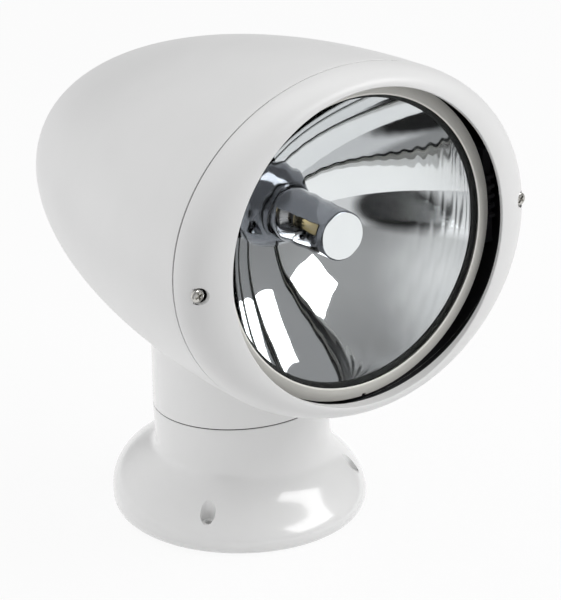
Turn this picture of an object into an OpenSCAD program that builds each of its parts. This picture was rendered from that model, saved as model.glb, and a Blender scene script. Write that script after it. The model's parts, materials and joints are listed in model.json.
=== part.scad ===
// Remote-controlled marine searchlight on a flared deck pedestal.
// The head pans on a spindle in the base, and the lamp tilts on trunnions inside the head.
// The lamp faces -Y. The origin is on the pan axis, at the deck.

/* [Lamp] */
// Radius of the glass that shows inside the retaining ring
lens_view_r = 85; // [82:0.5:88]
// Radial width of the retaining ring
ring_w = 5; // [4:0.25:6]
// Thickness of the lens glass
lens_t = 4; // [3:0.25:5]
// Rise of the lens dome at its centre
lens_dome = 3.5; // [2:0.25:4]
// Focal length of the reflector
focal = 28; // [26:0.5:31]
// Wall of the reflector
reflector_t = 1.5; // [1:0.1:2]
// Radius of the bulb hole in the reflector
bulb_hole_r = 12; // [11.5:0.25:13]
// Radius of the bulb capsule
capsule_r = 6; // [5:0.25:7]
// Radius of the glare shield in front of the bulb
shield_r = 14.5; // [13.5:0.25:16]
// Distance of the shield's face ahead of the tilt axis
shield_ahead = 10; // [6:0.5:14]

/* [Head] */
// Height of the lamp axis above the deck
lamp_z = 209; // [205:1:215]
// Distance of the shell's front edge ahead of the pan axis
seam_front = 125; // [121:1:130]
// Distance of the tail behind the pan axis
tail_back = 160; // [150:1:175]
// Drop of the tail's centre below the lamp axis
tail_drop = 4; // [0:0.5:7]
// Wall of the moulded shell and bezel
shell_wall = 3.5; // [3:0.1:4.5]
// Radial gap between the lamp ring and the bezel's bore
lamp_gap = 2.3; // [1.8:0.1:3]
// Height of the bezel's edge above its bore, at the top and bottom
rim_h = 9.7; // [9:0.1:13]
// Width of the bezel's cheek beside its bore
cheek_w = 25.7; // [24:0.1:30]
// Depth of the bezel ahead of its gasket
bezel_depth = 20.5; // [18:0.5:23]
// Thickness of the gasket between the shell and the bezel
bezel_gasket_t = 0.8; // [0.5:0.1:1.5]
// Distance of the tilt axis behind the shell's front edge
trunnion_back = 17; // [15:0.5:20]
// Distance of the lamp ring behind the bezel's lip
ring_back = 9.3; // [8:0.1:11]

/* [Base] */
// Height of the pedestal's top above the deck
base_h = 73; // [68:1:80]
// Radius of the neck at the seam
neck_r = 53.5; // [52.5:0.25:55]
// Loss of radius of the collar from the seam to the head
neck_taper = 1.9; // [1:0.1:2.5]
// Wall of the pedestal and the collar
neck_wall = 3.5; // [3:0.1:4]
// Half width of the foot
foot_half_w = 75.5; // [74:0.5:80]
// Half length of the foot
foot_half_l = 84.25; // [82:0.25:90]
// Distance of the foot's centre behind the pan axis
foot_back = 8.5; // [6:0.5:10]
// Height at which the foot is widest
foot_wide_z = 8; // [7:0.5:9]
// Height at which the flare meets the neck at the front
toe_top = 60; // [57:0.5:64]
// Height at which the flare meets the neck at the rear
heel_top = 46; // [43:0.5:48]
// Distance of the deck screws from the pan axis
deck_screw_circle_r = 65; // [64:0.25:65.5]
// Angle of the two front deck screws ahead of the pan axis
deck_screw_turn = 36; // [32:0.5:38]
// Radius of the deck screw holes
deck_hole_r = 2.3; // [2:0.1:2.8]
// Height of the seats under the deck screw heads
deck_seat_z = 14; // [11:0.5:16]
// Radius of the pockets round the deck screw heads
deck_pocket_r = 5.5; // [5:0.1:6]
// Radius of the cable hole
cable_r = 6; // [4.5:0.25:6.5]

/* [Drives] */
// Module of the gear teeth
tooth_module = 1; // [0.95:0.01:1.05]
// Number of teeth on the fixed pan gear
pan_gear_teeth = 48; // [46:2:50]
// Number of teeth on the pan pinion
pan_pinion_teeth = 14; // [14:2:16]
// Number of teeth that the tilt sector would have as a full wheel
tilt_wheel_teeth = 124; // [120:2:128]
// Number of teeth on the tilt pinion
tilt_pinion_teeth = 12; // [12:2:14]
// Tilt of the lamp either way from level
tilt_reach = 20; // [10:1:20]
// Radius of the spindle
spindle_r = 10; // [9:0.25:10.5]
// Radius of the trunnion pins
trunnion_r = 4; // [3:0.25:5]

/* [Fits] */
// Gap between the turning neck and the pedestal
seam_gap = 0.7; // [0.3:0.05:0.8]
// Radial clearance of a shaft that turns in a bush
run_fit = 0.05; // [0.02:0.01:0.08]
// Radial clearance of a piece that stays put in its seat
seat_fit = 0.05; // [0.02:0.01:0.1]
// Clearance between faces that pass each other
pass_gap = 0.4; // [0.3:0.05:0.6]
// Backlash on each tooth flank
backlash = 0.1; // [0.06:0.01:0.15]

/* [Hidden] */

// Facets round a lofted shell, round its inside, and round a turned piece
shell_n = 56;
inner_n = 40;
turn_n = 96;
// Overshoot of a cut past the face that it leaves
eps = 1;

// Screws: radius of shank, radius of head, height of head
m4 = [2, 3.85, 2.4];
m3 = [1.5, 2.75, 1.8];
m3_low = [1.5, 2.75, 1.3];
m2 = [1.2, 2.2, 0.9];
// Radial clearance of a screw through a plain hole
screw_clear = 0.3;
// Spread of the gear centres beyond the pitch radii
mesh_gap = 0.05;
// Radial clearance of a pinion's shaft through a plate
shaft_clear = 1.5;

// Lamp, measured forward of the tilt axis
ring_r = lens_view_r + ring_w;
lens_lap = 1.5;
lens_r = lens_view_r + lens_lap;
ring_lip_t = 3.8;
lens_gasket_t = 1.5;
bezel_bore_r = ring_r + lamp_gap;
head_half_h = bezel_bore_r + rim_h;
head_half_w = bezel_bore_r + cheek_w;
tilt_y = -(seam_front - trunnion_back);
bezel_back_y = -(seam_front + bezel_gasket_t);
lip_y = bezel_back_y - bezel_depth;
ring_front = tilt_y - lip_y - ring_back;
lens_edge = ring_front - ring_lip_t;
reflector_front = lens_edge - lens_t - lens_gasket_t;
reflector_seat = reflector_front - reflector_t;
reflector_r = lens_view_r - lens_lap;
reflector_vertex = reflector_front - pow(reflector_r, 2) / (4 * focal);
carrier_in_r = lens_r + pass_gap;
carrier_step_r = ring_r - 1.5;
carrier_top = lens_edge - 2.7;
carrier_back = -6;
ring_skirt = carrier_top - 6.5;
ring_screw_s = (carrier_top + ring_skirt) / 2;
lip_land = 0.7;
lip_r = bezel_bore_r + lip_land;
bore_depth = 4.5;
// Step between the bezel's bore and the hollow behind it
bore_step = 0.5;

// Bulb, measured forward of the tilt axis
capsule_tip = shield_ahead - 8;
bulb_seat = reflector_vertex - reflector_t;
nose_end = bulb_seat + 9;
bulb_neck_r = bulb_hole_r - 1.5;
bulb_stem_r = bulb_neck_r - 2;
bulb_flange_r = bulb_hole_r + 2.5;
flange_back = bulb_seat - 3;
bulb_collar_r = bulb_flange_r + 2;
bulb_tail = bulb_seat - 12;
clip_t = 1;
boot_t = 2;
boot_end = bulb_tail - 1 - boot_t;

// Trunnions, measured outward from the lamp's axis
bush_flange_t = 1.5;
bush_wall = 2.5;
trunnion_boss_r = trunnion_r + 5;
bracket_in = ring_r + 9;
bracket_t = 5;
bracket_out = bracket_in + bracket_t;
trunnion_boss_out = bracket_in - bush_flange_t - pass_gap;
bracket_half_l = 13;
bracket_half_h = 29;
bracket_screw_v = 21;
bracket_rib_l = 3.5;
bracket_rib_t = 2.2;
bracket_rib_pitch = 6;
bezel_screw_x = head_half_w - 7.3;
bezel_screw_boss_r = 6;
bezel_screw_seat = 12;
bezel_pocket_r = 4.9;
shell_boss_l = 18;
boss_bite = 8;

// Tilt drive, measured back from the tilt axis
// Distance of the sector inside the edge of the lens
sector_inside = 10.5;
sector_x = lens_view_r - sector_inside;
sector_t = 5;
sector_pitch_r = tilt_wheel_teeth * tooth_module / 2;
sector_half = tilt_reach + 9;
sector_foot_v = 46;
sector_boss_r = 4;
sector_boss_l = 14;
tilt_centres = (tilt_wheel_teeth + tilt_pinion_teeth) * tooth_module / 2 + mesh_gap;
tilt_shaft_r = 3;
tilt_gearbox_r = 13;
tilt_gearbox_l = 16;
tilt_motor_r = 12;
tilt_motor_l = 26;
tilt_plate_t = 4;
tilt_plate_gap = 2;
tilt_plate_x = sector_x - sector_t / 2 - tilt_plate_gap - tilt_plate_t;
tilt_drive_y = tilt_y + tilt_centres;
tilt_plate_half = 15;
tilt_foot_l = 24;
tilt_foot_drop = 63;
tilt_foot_z = lamp_z - tilt_foot_drop;
tilt_post_r = 5.5;
tilt_post_in = 14;
tilt_post_x = tilt_plate_x - tilt_post_in;
tilt_post_dy = 9;
tilt_screw_v = 9;
pinion_shy = 0.3;

// Neck and pan drive, measured up from the deck
web_t = 5;
// Drop of the web below the pedestal's top
web_drop = 14;
web_top = base_h - web_drop;
bore_r = neck_r - neck_wall - 0.5;
flange_r = 24 * tooth_module;
flange_t = 4;
gear_z = web_top + flange_t;
gear_t = 7;
hub_r = spindle_r + 3.5;
hub_top = base_h;
washer_t = 1;
bush_gap = 0.1;
bush_z = hub_top + washer_t + bush_gap;
bush_r = spindle_r + 4;
bush_rim_r = spindle_r + 7;
bush_rim_t = 1.9;
turntable_z = bush_z + bush_rim_t;
turntable_t = 4;
turntable_top = turntable_z + turntable_t;
turntable_r = neck_r - neck_wall - pass_gap;
turntable_boss_h = 8;
bush_top = turntable_top + 10;
nut_washer_t = 1.2;
nut_z = bush_top + pass_gap + nut_washer_t;
nut_h = 6.5;
nut_r = spindle_r + 6;
spindle_top = nut_z + nut_h + 1;
collar_z = base_h + seam_gap;
// Drop of the collar's top below the lamp axis
socket_drop = 73;
collar_top = lamp_z - socket_drop;
collar_flange_t = 4;
taper_h = 45;
collar_flange_r = 40;
ledge_t = 4;
ledge_r = neck_r - 9;
collar_top_r = neck_r - neck_taper;
collar_bore_r = collar_top_r - neck_wall;
collar_screw_r = 44;
turntable_screw_r = ledge_r + 1.8;
socket_r = collar_top_r + 0.8;
socket_wall = 4;
socket_floor_t = 4;
socket_hole_r = 36;
pan_centres = (pan_gear_teeth + pan_pinion_teeth) * tooth_module / 2 + mesh_gap;
pan_shaft_r = 3;
// Gap between the pan gearbox and the collar's ledge
ledge_gap = 1.4;
pan_gearbox_r = ledge_r - pan_centres - ledge_gap;
pan_gearbox_h = 18;
pan_motor_r = pan_gearbox_r - 1;
pan_motor_h = 28;
// Solid end of each gearbox past its shaft's bore
gearbox_end_t = 3;
pan_shaft_top = turntable_top + pan_gearbox_h - gearbox_end_t - 0.4;
pan_ear = 15;
pan_ear_r = 4;
pan_ear_t = 3;
spindle_screw_r = 18;
gear_screw_r = hub_r + m3[1] + 1.5;
spigot_r = spindle_r + 4;
seal_w = 1.6;
// Distance of the seal inside the neck's outside
seal_shy = 0.6;
seal_r = neck_r - seal_shy - seal_w / 2;
seal_h = 2;

// Foot
foot_under = 5;
foot_rim_t = 11;
// Drop of the hollow below the sections of the flare
hollow_drop = 2;
// Curve of the flare: how soon it leaves the foot, and how hard it turns up the neck
toe_curve = [1.55, 5.1];
heel_curve = [3.1, 0.95];
plate_recess = 3;
plate_t = 3;
pillar_r = 5;
pillar_circle_r = 38;
pillar_bite = 14;
gasket_in = 10;
gasket_out = 7;
gasket_h = 1.9;
grommet_r = cable_r + 6;
grommet_lip = 3;
grommet_top = plate_recess + plate_t + 2.5;
deck_boss_r = deck_pocket_r + 2.5;
deck_angles = [deck_screw_turn - 180, -deck_screw_turn, 90];
gear_angles = [-150, -30, 90];
pillar_angles = [-90, 30, 150];

// Half an egg: the shell's half width and half height fall to nothing at the tail
function egg_ring(phi, inset, n, front = 0) =
  let (length = tail_back + seam_front - inset,
       y = -seam_front - front + (length + front) * sin(phi),
       fall = sin(phi))
  [for (i = [0 : n - 1]) let (a = 360 * i / n)
    [-(head_half_w - inset) * cos(phi) * cos(a), y,
     lamp_z - tail_drop * fall + (head_half_h - inset) * cos(phi) * sin(a)]];

// Bezel section: an oval at the seam that turns into the round lip
function bezel_ring(phi, inset, end_r, depth, n, start) =
  [for (i = [0 : n - 1]) let (a = 360 * i / n,
       w = end_r + (head_half_w - inset - end_r) * cos(phi),
       h = end_r + (head_half_h - inset - end_r) * cos(phi))
    [w * cos(a), start - depth * sin(phi), lamp_z + h * sin(a)]];

// Share of the flare's spread that is left at height z: hollow at the toe, full at the heel
function flare(z, a) =
  let (heel = (1 + sin(a)) / 2,
       curve = toe_curve + (heel_curve - toe_curve) * heel,
       top = toe_top + (heel_top - toe_top) * heel,
       climb = max(0, min(1, (z - foot_wide_z) / (top - foot_wide_z))))
  pow(1 - pow(climb, curve[0]), curve[1]);

// Foot section at height z, drawn in by inset at the foot and by wall at the neck
function foot_ring(z, inset, wall, n) =
  [for (i = [0 : n - 1]) let (a = 360 * i / n,
       b = flare(z, a),
       round_r = neck_r - max(wall, inset * b))
    [(round_r + (foot_half_w - neck_r) * b) * cos(a),
     foot_back * b + (round_r + (foot_half_l - neck_r) * b) * sin(a), z]];

function lowered(ring, drop) = [for (p = ring) p - [0, 0, drop]];

function oval(half_w, half_h, n = turn_n) =
  [for (i = [0 : n - 1]) [half_w * cos(360 * i / n), half_h * sin(360 * i / n)]];

function arc(r, from, to, steps) =
  [for (i = [0 : steps]) let (a = from + (to - from) * i / steps) [r * cos(a), r * sin(a)]];

// Involute teeth, with a tooth centred on angle 0
pressure_angle = 25;
flank_steps = 4;
function involute(angle) = tan(angle) * 180 / PI - angle;
function flank_angle(r, teeth) =
  let (base = teeth * tooth_module / 2 * cos(pressure_angle))
  90 / teeth - backlash / (teeth * tooth_module / 2) * 180 / PI
  + involute(pressure_angle) - (r > base ? involute(acos(base / r)) : 0);
function tooth(teeth, index) =
  let (pitch = teeth * tooth_module / 2,
       root = pitch - 1.25 * tooth_module,
       low = max(pitch * cos(pressure_angle), root),
       tip = pitch + 0.9 * tooth_module,
       flank = [for (i = [0 : flank_steps]) low + (tip - low) * i / flank_steps],
       radii = concat(low > root ? [root] : [], flank),
       last = len(radii) - 1,
       middle = 360 * index / teeth)
  concat([for (r = radii) let (a = middle - flank_angle(r, teeth)) r * [cos(a), sin(a)]],
         [for (i = [last : -1 : 0]) let (a = middle + flank_angle(radii[i], teeth))
           radii[i] * [cos(a), sin(a)]]);
function wheel(teeth) = [for (k = [0 : teeth - 1]) each tooth(teeth, k)];

// Closed skin over a stack of rings, each counter-clockwise seen from the stack's end
module loft(rings) {
  n = len(rings[0]);
  last = len(rings) - 1;
  sides = [for (i = [0 : last - 1], j = [0 : n - 1]) let (k = (j + 1) % n)
    each [[i * n + j, (i + 1) * n + j, (i + 1) * n + k], [i * n + j, (i + 1) * n + k, i * n + k]]];
  polyhedron([for (ring = rings) each ring],
    concat([[for (j = [0 : n - 1]) j]], sides, [[for (j = [n - 1 : -1 : 0]) last * n + j]]));
}

module at_lamp() { translate([0, tilt_y, lamp_z]) children(); }

// Turned about the lamp's axis: the profile is radius against distance ahead of the tilt axis
module lamp_turned() { at_lamp() rotate([90, 0, 0]) rotate_extrude($fn = turn_n) children(); }

module turned() { rotate_extrude($fn = turn_n) children(); }

module ring(outer, inner, z, h) {
  translate([0, 0, z]) difference() {
    cylinder(r = outer, h = h, $fn = turn_n);
    translate([0, 0, -eps]) cylinder(r = inner, h = h + 2 * eps, $fn = turn_n);
  }
}

module rod(r, z, h) { translate([0, 0, z]) cylinder(r = r, h = h, $fn = 48); }

// Cross-head pan screw: under the head at z = 0, shank down
module screw(size, length) {
  slot = size[1] * 1.1;
  difference() {
    union() {
      rotate_extrude($fn = 32) polygon([[0, 0], [size[1], 0], [size[1], size[2] * 0.45],
        [size[1] * 0.86, size[2] * 0.82], [size[1] * 0.5, size[2]], [0, size[2]]]);
      translate([0, 0, -length]) cylinder(r = size[0], h = length, $fn = 24);
    }
    for (a = [0, 90]) rotate([0, 0, a])
      translate([-slot / 2, -slot / 7, size[2] * 0.4]) cube([slot, slot * 2 / 7, size[2]]);
  }
}

module round_places(angles, r) { for (a = angles) rotate([0, 0, a]) translate([r, 0, 0]) children(); }

// The children and their mirror image on the other side of the head
module both_sides() {
  children();
  mirror([1, 0, 0]) children();
}

// Base

flare_steps = 16;
function flare_z(step) = foot_wide_z + (toe_top - foot_wide_z) * step / flare_steps;
foot_inset = foot_under + foot_rim_t;
foot_outer = concat(
  [for (a = [90 : -22.5 : 22.5])
    foot_ring(foot_wide_z * (1 - sin(a)), foot_under * (1 - cos(a)), 0, shell_n)],
  [for (i = [0 : flare_steps]) foot_ring(flare_z(i), 0, 0, shell_n)],
  [foot_ring(base_h, 0, 0, shell_n)]);
foot_inner = concat(
  [lowered(foot_ring(0, foot_inset, 0, inner_n), eps)],
  [for (i = [0 : 2 : flare_steps - 2])
    lowered(foot_ring(flare_z(i), foot_inset, neck_wall + 1, inner_n), hollow_drop)]);

module foot_oval(inset) {
  translate([0, foot_back]) polygon(oval(foot_half_w - inset, foot_half_l - inset));
}

module base_pedestal() {
  color("white") difference() {
    loft(foot_outer);
    difference() {
      union() {
        loft(foot_inner);
        rod(bore_r - 1, foot_wide_z - hollow_drop, web_top - web_t - foot_wide_z + hollow_drop);
      }
      round_places(deck_angles, deck_screw_circle_r) rod(deck_boss_r, -eps, heel_top);
      round_places(pillar_angles, pillar_circle_r) rod(pillar_r, plate_recess + plate_t, base_h);
    }
    rod(bore_r, web_top, base_h);
    rod(spigot_r + seat_fit, 0, base_h);
    ring(seal_r + seal_w / 2 + seat_fit, seal_r - seal_w / 2 - seat_fit, base_h - seal_h, seal_h + eps);
    round_places(deck_angles, deck_screw_circle_r) {
      rod(deck_hole_r, -eps, base_h);
      rod(deck_pocket_r, deck_seat_z, base_h);
    }
    round_places(pillar_angles, pillar_circle_r)
      rod(m4[0] + seat_fit, 0, plate_recess + plate_t + pillar_bite + 2);
    round_places(pillar_angles, spindle_screw_r)
      rod(m4[0] + screw_clear, web_top - web_t - eps, web_t + 2 * eps);
    translate([0, 0, -eps]) linear_extrude(gasket_h + seat_fit + eps) difference() {
      foot_oval(foot_under + gasket_out - seat_fit);
      foot_oval(foot_under + gasket_in + seat_fit);
    }
  }
}

module base_plate() {
  color("gainsboro") difference() {
    translate([0, 0, plate_recess]) linear_extrude(plate_t) foot_oval(foot_inset + pass_gap);
    rod(grommet_r + seat_fit, 0, base_h);
    round_places(deck_angles, deck_screw_circle_r) rod(deck_boss_r + pass_gap, 0, base_h);
    round_places(pillar_angles, pillar_circle_r) rod(m4[0] + screw_clear, 0, base_h);
  }
}

module base_plate_screws() {
  color("silver") round_places(pillar_angles, pillar_circle_r)
    translate([0, 0, plate_recess]) mirror([0, 0, 1]) screw(m4, plate_t + pillar_bite);
}

module deck_gasket() {
  color("dimgray") linear_extrude(gasket_h) difference() {
    foot_oval(foot_under + gasket_out);
    foot_oval(foot_under + gasket_in);
  }
}

module cable_grommet() {
  rim = grommet_r + grommet_lip;
  top = plate_recess + plate_t;
  color("black") turned() polygon([[cable_r, 0], [rim, 0], [rim, plate_recess],
    [grommet_r, plate_recess], [grommet_r, top], [rim, top], [grommet_r + 1, grommet_top],
    [cable_r, grommet_top]]);
}

// Pan bearing and drive

module spindle() {
  color("lightsteelblue") difference() {
    turned() polygon([[cable_r, web_top - web_t - 2], [spigot_r, web_top - web_t - 2], [spigot_r, web_top],
      [flange_r, web_top], [flange_r, gear_z], [spindle_r, gear_z], [spindle_r, spindle_top - 1],
      [spindle_r - 1, spindle_top], [cable_r, spindle_top]]);
    round_places(pillar_angles, spindle_screw_r) rod(m4[0] + seat_fit, web_top - eps, flange_t - 0.5 + eps);
    round_places(gear_angles, gear_screw_r) rod(m3[0] + seat_fit, web_top + 0.5, flange_t);
  }
}

module spindle_screws() {
  color("silver") round_places(pillar_angles, spindle_screw_r)
    translate([0, 0, web_top - web_t]) mirror([0, 0, 1]) screw(m4, web_t + flange_t - 1);
}

module pan_gear() {
  color("tan") difference() {
    union() {
      translate([0, 0, gear_z]) rotate([0, 0, 90]) linear_extrude(gear_t) polygon(wheel(pan_gear_teeth));
      rod(hub_r, gear_z, hub_top - gear_z);
    }
    rod(spindle_r + seat_fit, 0, 2 * base_h);
    round_places(gear_angles, gear_screw_r) rod(m3[0] + screw_clear, 0, base_h);
  }
}

module pan_gear_screws() {
  color("silver") round_places(gear_angles, gear_screw_r)
    translate([0, 0, gear_z + gear_t]) screw(m3, gear_t + flange_t - 1);
}

module thrust_washer() { color("goldenrod") ring(hub_r, spindle_r + seat_fit, hub_top, washer_t); }

module spindle_washer() {
  color("silver") ring(bush_rim_r, spindle_r + seat_fit, nut_z - nut_washer_t, nut_washer_t);
}

module spindle_nut() {
  color("silver") difference() {
    translate([0, 0, nut_z]) cylinder(r = nut_r, h = nut_h, $fn = 6);
    rod(spindle_r + seat_fit, nut_z - eps, nut_h + 2 * eps);
  }
}

module neck_seal() {
  color("black") ring(seal_r + seal_w / 2, seal_r - seal_w / 2, base_h - seal_h, seal_h + seam_gap / 2);
}

module neck_collar() {
  color("white") difference() {
    turned() polygon([[neck_r - neck_wall, collar_z], [neck_r, collar_z], [collar_top_r, collar_z + taper_h],
      [collar_top_r, collar_top], [collar_flange_r, collar_top],
      [collar_flange_r, collar_top - collar_flange_t], [collar_bore_r, collar_top - collar_flange_t],
      [collar_bore_r, turntable_top + 2 * ledge_t], [ledge_r, turntable_top + ledge_t],
      [ledge_r, turntable_top], [neck_r - neck_wall, turntable_top]]);
    round_places(pillar_angles, turntable_screw_r) rod(m3[0] + seat_fit, turntable_top - eps, ledge_t + eps);
    round_places([0 : 90 : 270], collar_screw_r) rod(m4[0] + seat_fit, collar_top - collar_flange_t - eps, 8);
  }
}

module turntable() {
  color("gray") difference() {
    union() {
      rod(turntable_r, turntable_z, turntable_t);
      rod(bush_r + 4, turntable_z, turntable_t + turntable_boss_h);
    }
    rod(bush_r + seat_fit, 0, 2 * base_h);
    translate([0, pan_centres, 0]) rod(pan_shaft_r + shaft_clear, 0, 2 * base_h);
    for (side = [-1, 1]) translate([side * pan_ear, pan_centres, 0]) rod(m3[0] + seat_fit, 0, 2 * base_h);
    round_places(pillar_angles, turntable_screw_r) rod(m3[0] + screw_clear, 0, 2 * base_h);
  }
}

module turntable_screws() {
  color("silver") round_places(pillar_angles, turntable_screw_r)
    translate([0, 0, turntable_z]) mirror([0, 0, 1]) screw(m3, turntable_t + ledge_t - 0.5);
}

module pan_bush() {
  color("goldenrod") turned() polygon([[spindle_r + run_fit, bush_z], [bush_rim_r, bush_z],
    [bush_rim_r, turntable_z], [bush_r, turntable_z], [bush_r, bush_top], [spindle_r + run_fit, bush_top]]);
}

module pan_gearbox() {
  color("dimgray") translate([0, pan_centres, turntable_top]) difference() {
    union() {
      rod(pan_gearbox_r, 0, pan_gearbox_h);
      for (side = [-1, 1]) translate([side * pan_ear, 0, 0]) rod(pan_ear_r, 0, pan_ear_t);
      translate([-pan_ear, -pan_ear_r, 0]) cube([2 * pan_ear, 2 * pan_ear_r, pan_ear_t]);
    }
    rod(pan_shaft_r + run_fit, -eps, pan_gearbox_h - gearbox_end_t + eps);
    for (side = [-1, 1]) translate([side * pan_ear, 0, 0]) {
      rod(m3[0] + screw_clear, -eps, pan_ear_t + 2 * eps);
      rod(m3[1] + screw_clear, pan_ear_t, pan_gearbox_h);
    }
  }
}

module pan_gearbox_screws() {
  color("silver") for (side = [-1, 1])
    translate([side * pan_ear, pan_centres, turntable_top + pan_ear_t])
      screw(m3, pan_ear_t + turntable_t - 0.5);
}

// Can motor with a crimped end and a rear boss, standing on z = 0
module can_motor(r, h) {
  boss_r = r * 0.4;
  cap = h - 1.5;
  rotate_extrude($fn = 48) polygon([[0, 0], [r, 0], [r, cap - 1.5], [r - 1, cap - 0.5], [r - 1, cap],
    [boss_r, cap], [boss_r, h], [0, h]]);
}

module pan_motor() {
  color("silver") translate([0, pan_centres, turntable_top + pan_gearbox_h])
    can_motor(pan_motor_r, pan_motor_h);
}

module pan_pinion() {
  color("gold") translate([0, pan_centres, 0]) {
    translate([0, 0, gear_z + 2 * pinion_shy]) rotate([0, 0, -90 + 180 / pan_pinion_teeth])
      linear_extrude(gear_t - 4 * pinion_shy) polygon(wheel(pan_pinion_teeth));
    rod(pan_shaft_r, gear_z + 2 * pinion_shy, pan_shaft_top - gear_z - 2 * pinion_shy);
  }
}

// Head

egg_steps = 16;
egg_end = 89;
head_outer = [for (i = [0 : egg_steps]) egg_ring(egg_end * i / egg_steps, 0, shell_n)];
head_inner = [for (i = [0 : 11]) egg_ring(egg_end * i / 11, shell_wall, inner_n, i == 0 ? eps : 0)];

// Bezel screw on the +X side, with z forward from the plane at y
module at_bezel_screw(y) { translate([bezel_screw_x, y, lamp_z]) rotate([90, 0, 0]) children(); }

// Trunnion bracket screws on the +X side, with z outward from the plane at x
module at_bracket_screws(x) {
  for (v = [-1, 1]) at_lamp() translate([x, 0, v * bracket_screw_v]) rotate([0, 90, 0]) children();
}

// Tops of the two posts under the tilt drive's bracket
module at_tilt_posts() {
  for (side = [-1, 1]) translate([tilt_post_x, tilt_drive_y + side * tilt_post_dy, tilt_foot_z]) children();
}

// Tilt drive's screws, with z outward from the plane at x
module at_tilt_screws(x) {
  for (v = [-1, 1]) translate([x, tilt_drive_y, lamp_z + v * tilt_screw_v]) rotate([0, 90, 0]) children();
}

// Sector's fixing points on the back of the carrier, with z forward
module at_sector_feet() {
  for (v = [-1, 1]) at_lamp() translate([sector_x, -carrier_back, v * sector_foot_v])
    rotate([90, 0, 0]) children();
}

// Radial screws of the retaining ring, with z outward
module at_ring_screws() {
  for (a = [45 : 90 : 315]) at_lamp() rotate([0, a, 0]) translate([0, -ring_screw_s, 0]) children();
}

module head_shell() {
  color("white") difference() {
    loft(head_outer);
    difference() {
      loft(head_inner);
      rod(socket_r + socket_wall, 0, collar_top + socket_floor_t);
      both_sides() {
        at_bezel_screw(-seam_front) rod(bezel_screw_boss_r, -shell_boss_l, shell_boss_l);
        at_bracket_screws(bracket_out) rod(bezel_screw_boss_r, 0, head_half_w);
      }
      at_tilt_posts() rod(tilt_post_r, -tilt_foot_z, tilt_foot_z);
    }
    rod(socket_r, 0, collar_top);
    rod(socket_hole_r, 0, lamp_z);
    round_places([0 : 90 : 270], collar_screw_r) rod(m4[0] + screw_clear, 0, lamp_z);
    both_sides() {
      at_bezel_screw(-seam_front) rod(m4[0] + seat_fit, 3 - shell_boss_l, shell_boss_l);
      at_bracket_screws(bracket_out) rod(m3[0] + seat_fit, -eps, boss_bite + 2);
    }
    at_tilt_posts() rod(m3[0] + seat_fit, -boss_bite - 1, boss_bite + 1 + eps);
  }
}

module collar_screws() {
  color("silver") round_places([0 : 90 : 270], collar_screw_r)
    translate([0, 0, collar_top + socket_floor_t]) screw(m4, socket_floor_t + collar_flange_t - 0.5);
}

gasket_shy = 0.6;
module bezel_gasket() {
  color("dimgray") translate([0, -seam_front, lamp_z]) rotate([90, 0, 0])
    linear_extrude(bezel_gasket_t) difference() {
      polygon(oval(head_half_w - gasket_shy, head_half_h - gasket_shy));
      polygon(oval(head_half_w - shell_wall, head_half_h - shell_wall));
    }
}

bezel_outer = [for (i = [0 : 8]) bezel_ring(90 * i / 8, 0, lip_r, bezel_depth, shell_n, bezel_back_y)];
hollow_r = bezel_bore_r + bore_step;
hollow_depth = bezel_depth - bore_depth;
bezel_inner = concat([bezel_ring(0, shell_wall, hollow_r, 1, inner_n, bezel_back_y + eps)],
  [for (i = [1 : 5]) bezel_ring(90 * i / 5, shell_wall, hollow_r, hollow_depth, inner_n, bezel_back_y)]);

module front_bezel() {
  color("white") difference() {
    loft(bezel_outer);
    difference() {
      loft(bezel_inner);
      both_sides() at_bezel_screw(bezel_back_y) rod(bezel_screw_boss_r, 0, bezel_depth);
    }
    translate([0, 0, lamp_z]) rotate([90, 0, 0]) cylinder(r = bezel_bore_r, h = 2 * seam_front, $fn = turn_n);
    both_sides() at_bezel_screw(bezel_back_y) {
      rod(m4[0] + screw_clear, -eps, bezel_depth);
      rod(bezel_pocket_r, bezel_screw_seat, bezel_depth);
    }
  }
}

module bezel_screws() {
  color("silver") both_sides() at_bezel_screw(bezel_back_y - bezel_screw_seat)
    screw(m4, bezel_screw_seat + bezel_gasket_t + shell_boss_l - 6);
}

// Trunnion bracket on the +X side: a plate with a bush in it, on two bosses of the shell
module trunnion_bracket() {
  difference() {
    at_lamp() translate([bracket_in, -bracket_half_l, 0]) {
      translate([0, 0, -bracket_half_h]) cube([bracket_t, 2 * bracket_half_l, 2 * bracket_half_h]);
      for (step = [-2 : 2]) translate([0, -bracket_rib_l, step * bracket_rib_pitch - bracket_rib_t / 2])
        cube([bracket_t, bracket_rib_l + eps, bracket_rib_t]);
    }
    at_lamp() rotate([0, 90, 0]) rod(trunnion_r + bush_wall + seat_fit, 0, 2 * bracket_out);
    at_bracket_screws(0) rod(m3[0] + screw_clear, 0, 2 * bracket_out);
  }
}

module trunnion_bracket_right() { color("dimgray") trunnion_bracket(); }

module trunnion_bracket_left() { color("dimgray") mirror([1, 0, 0]) trunnion_bracket(); }

module trunnion_bushes() {
  color("goldenrod") both_sides() at_lamp() translate([bracket_in, 0, 0]) rotate([0, 90, 0]) turned()
    polygon([[trunnion_r + run_fit, -bush_flange_t], [trunnion_boss_r, -bush_flange_t], [trunnion_boss_r, 0],
      [trunnion_r + bush_wall, 0], [trunnion_r + bush_wall, bracket_t], [trunnion_r + run_fit, bracket_t]]);
}

module bracket_screws() {
  color("silver") both_sides() at_bracket_screws(bracket_in)
    mirror([0, 0, 1]) screw(m3, bracket_t + boss_bite);
}

// Tilt drive

// Motor end of the tilt gearbox, with z outward along its shaft
module at_tilt_drive() {
  translate([tilt_plate_x - tilt_gearbox_l, tilt_drive_y, lamp_z]) rotate([0, 90, 0]) children();
}

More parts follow.
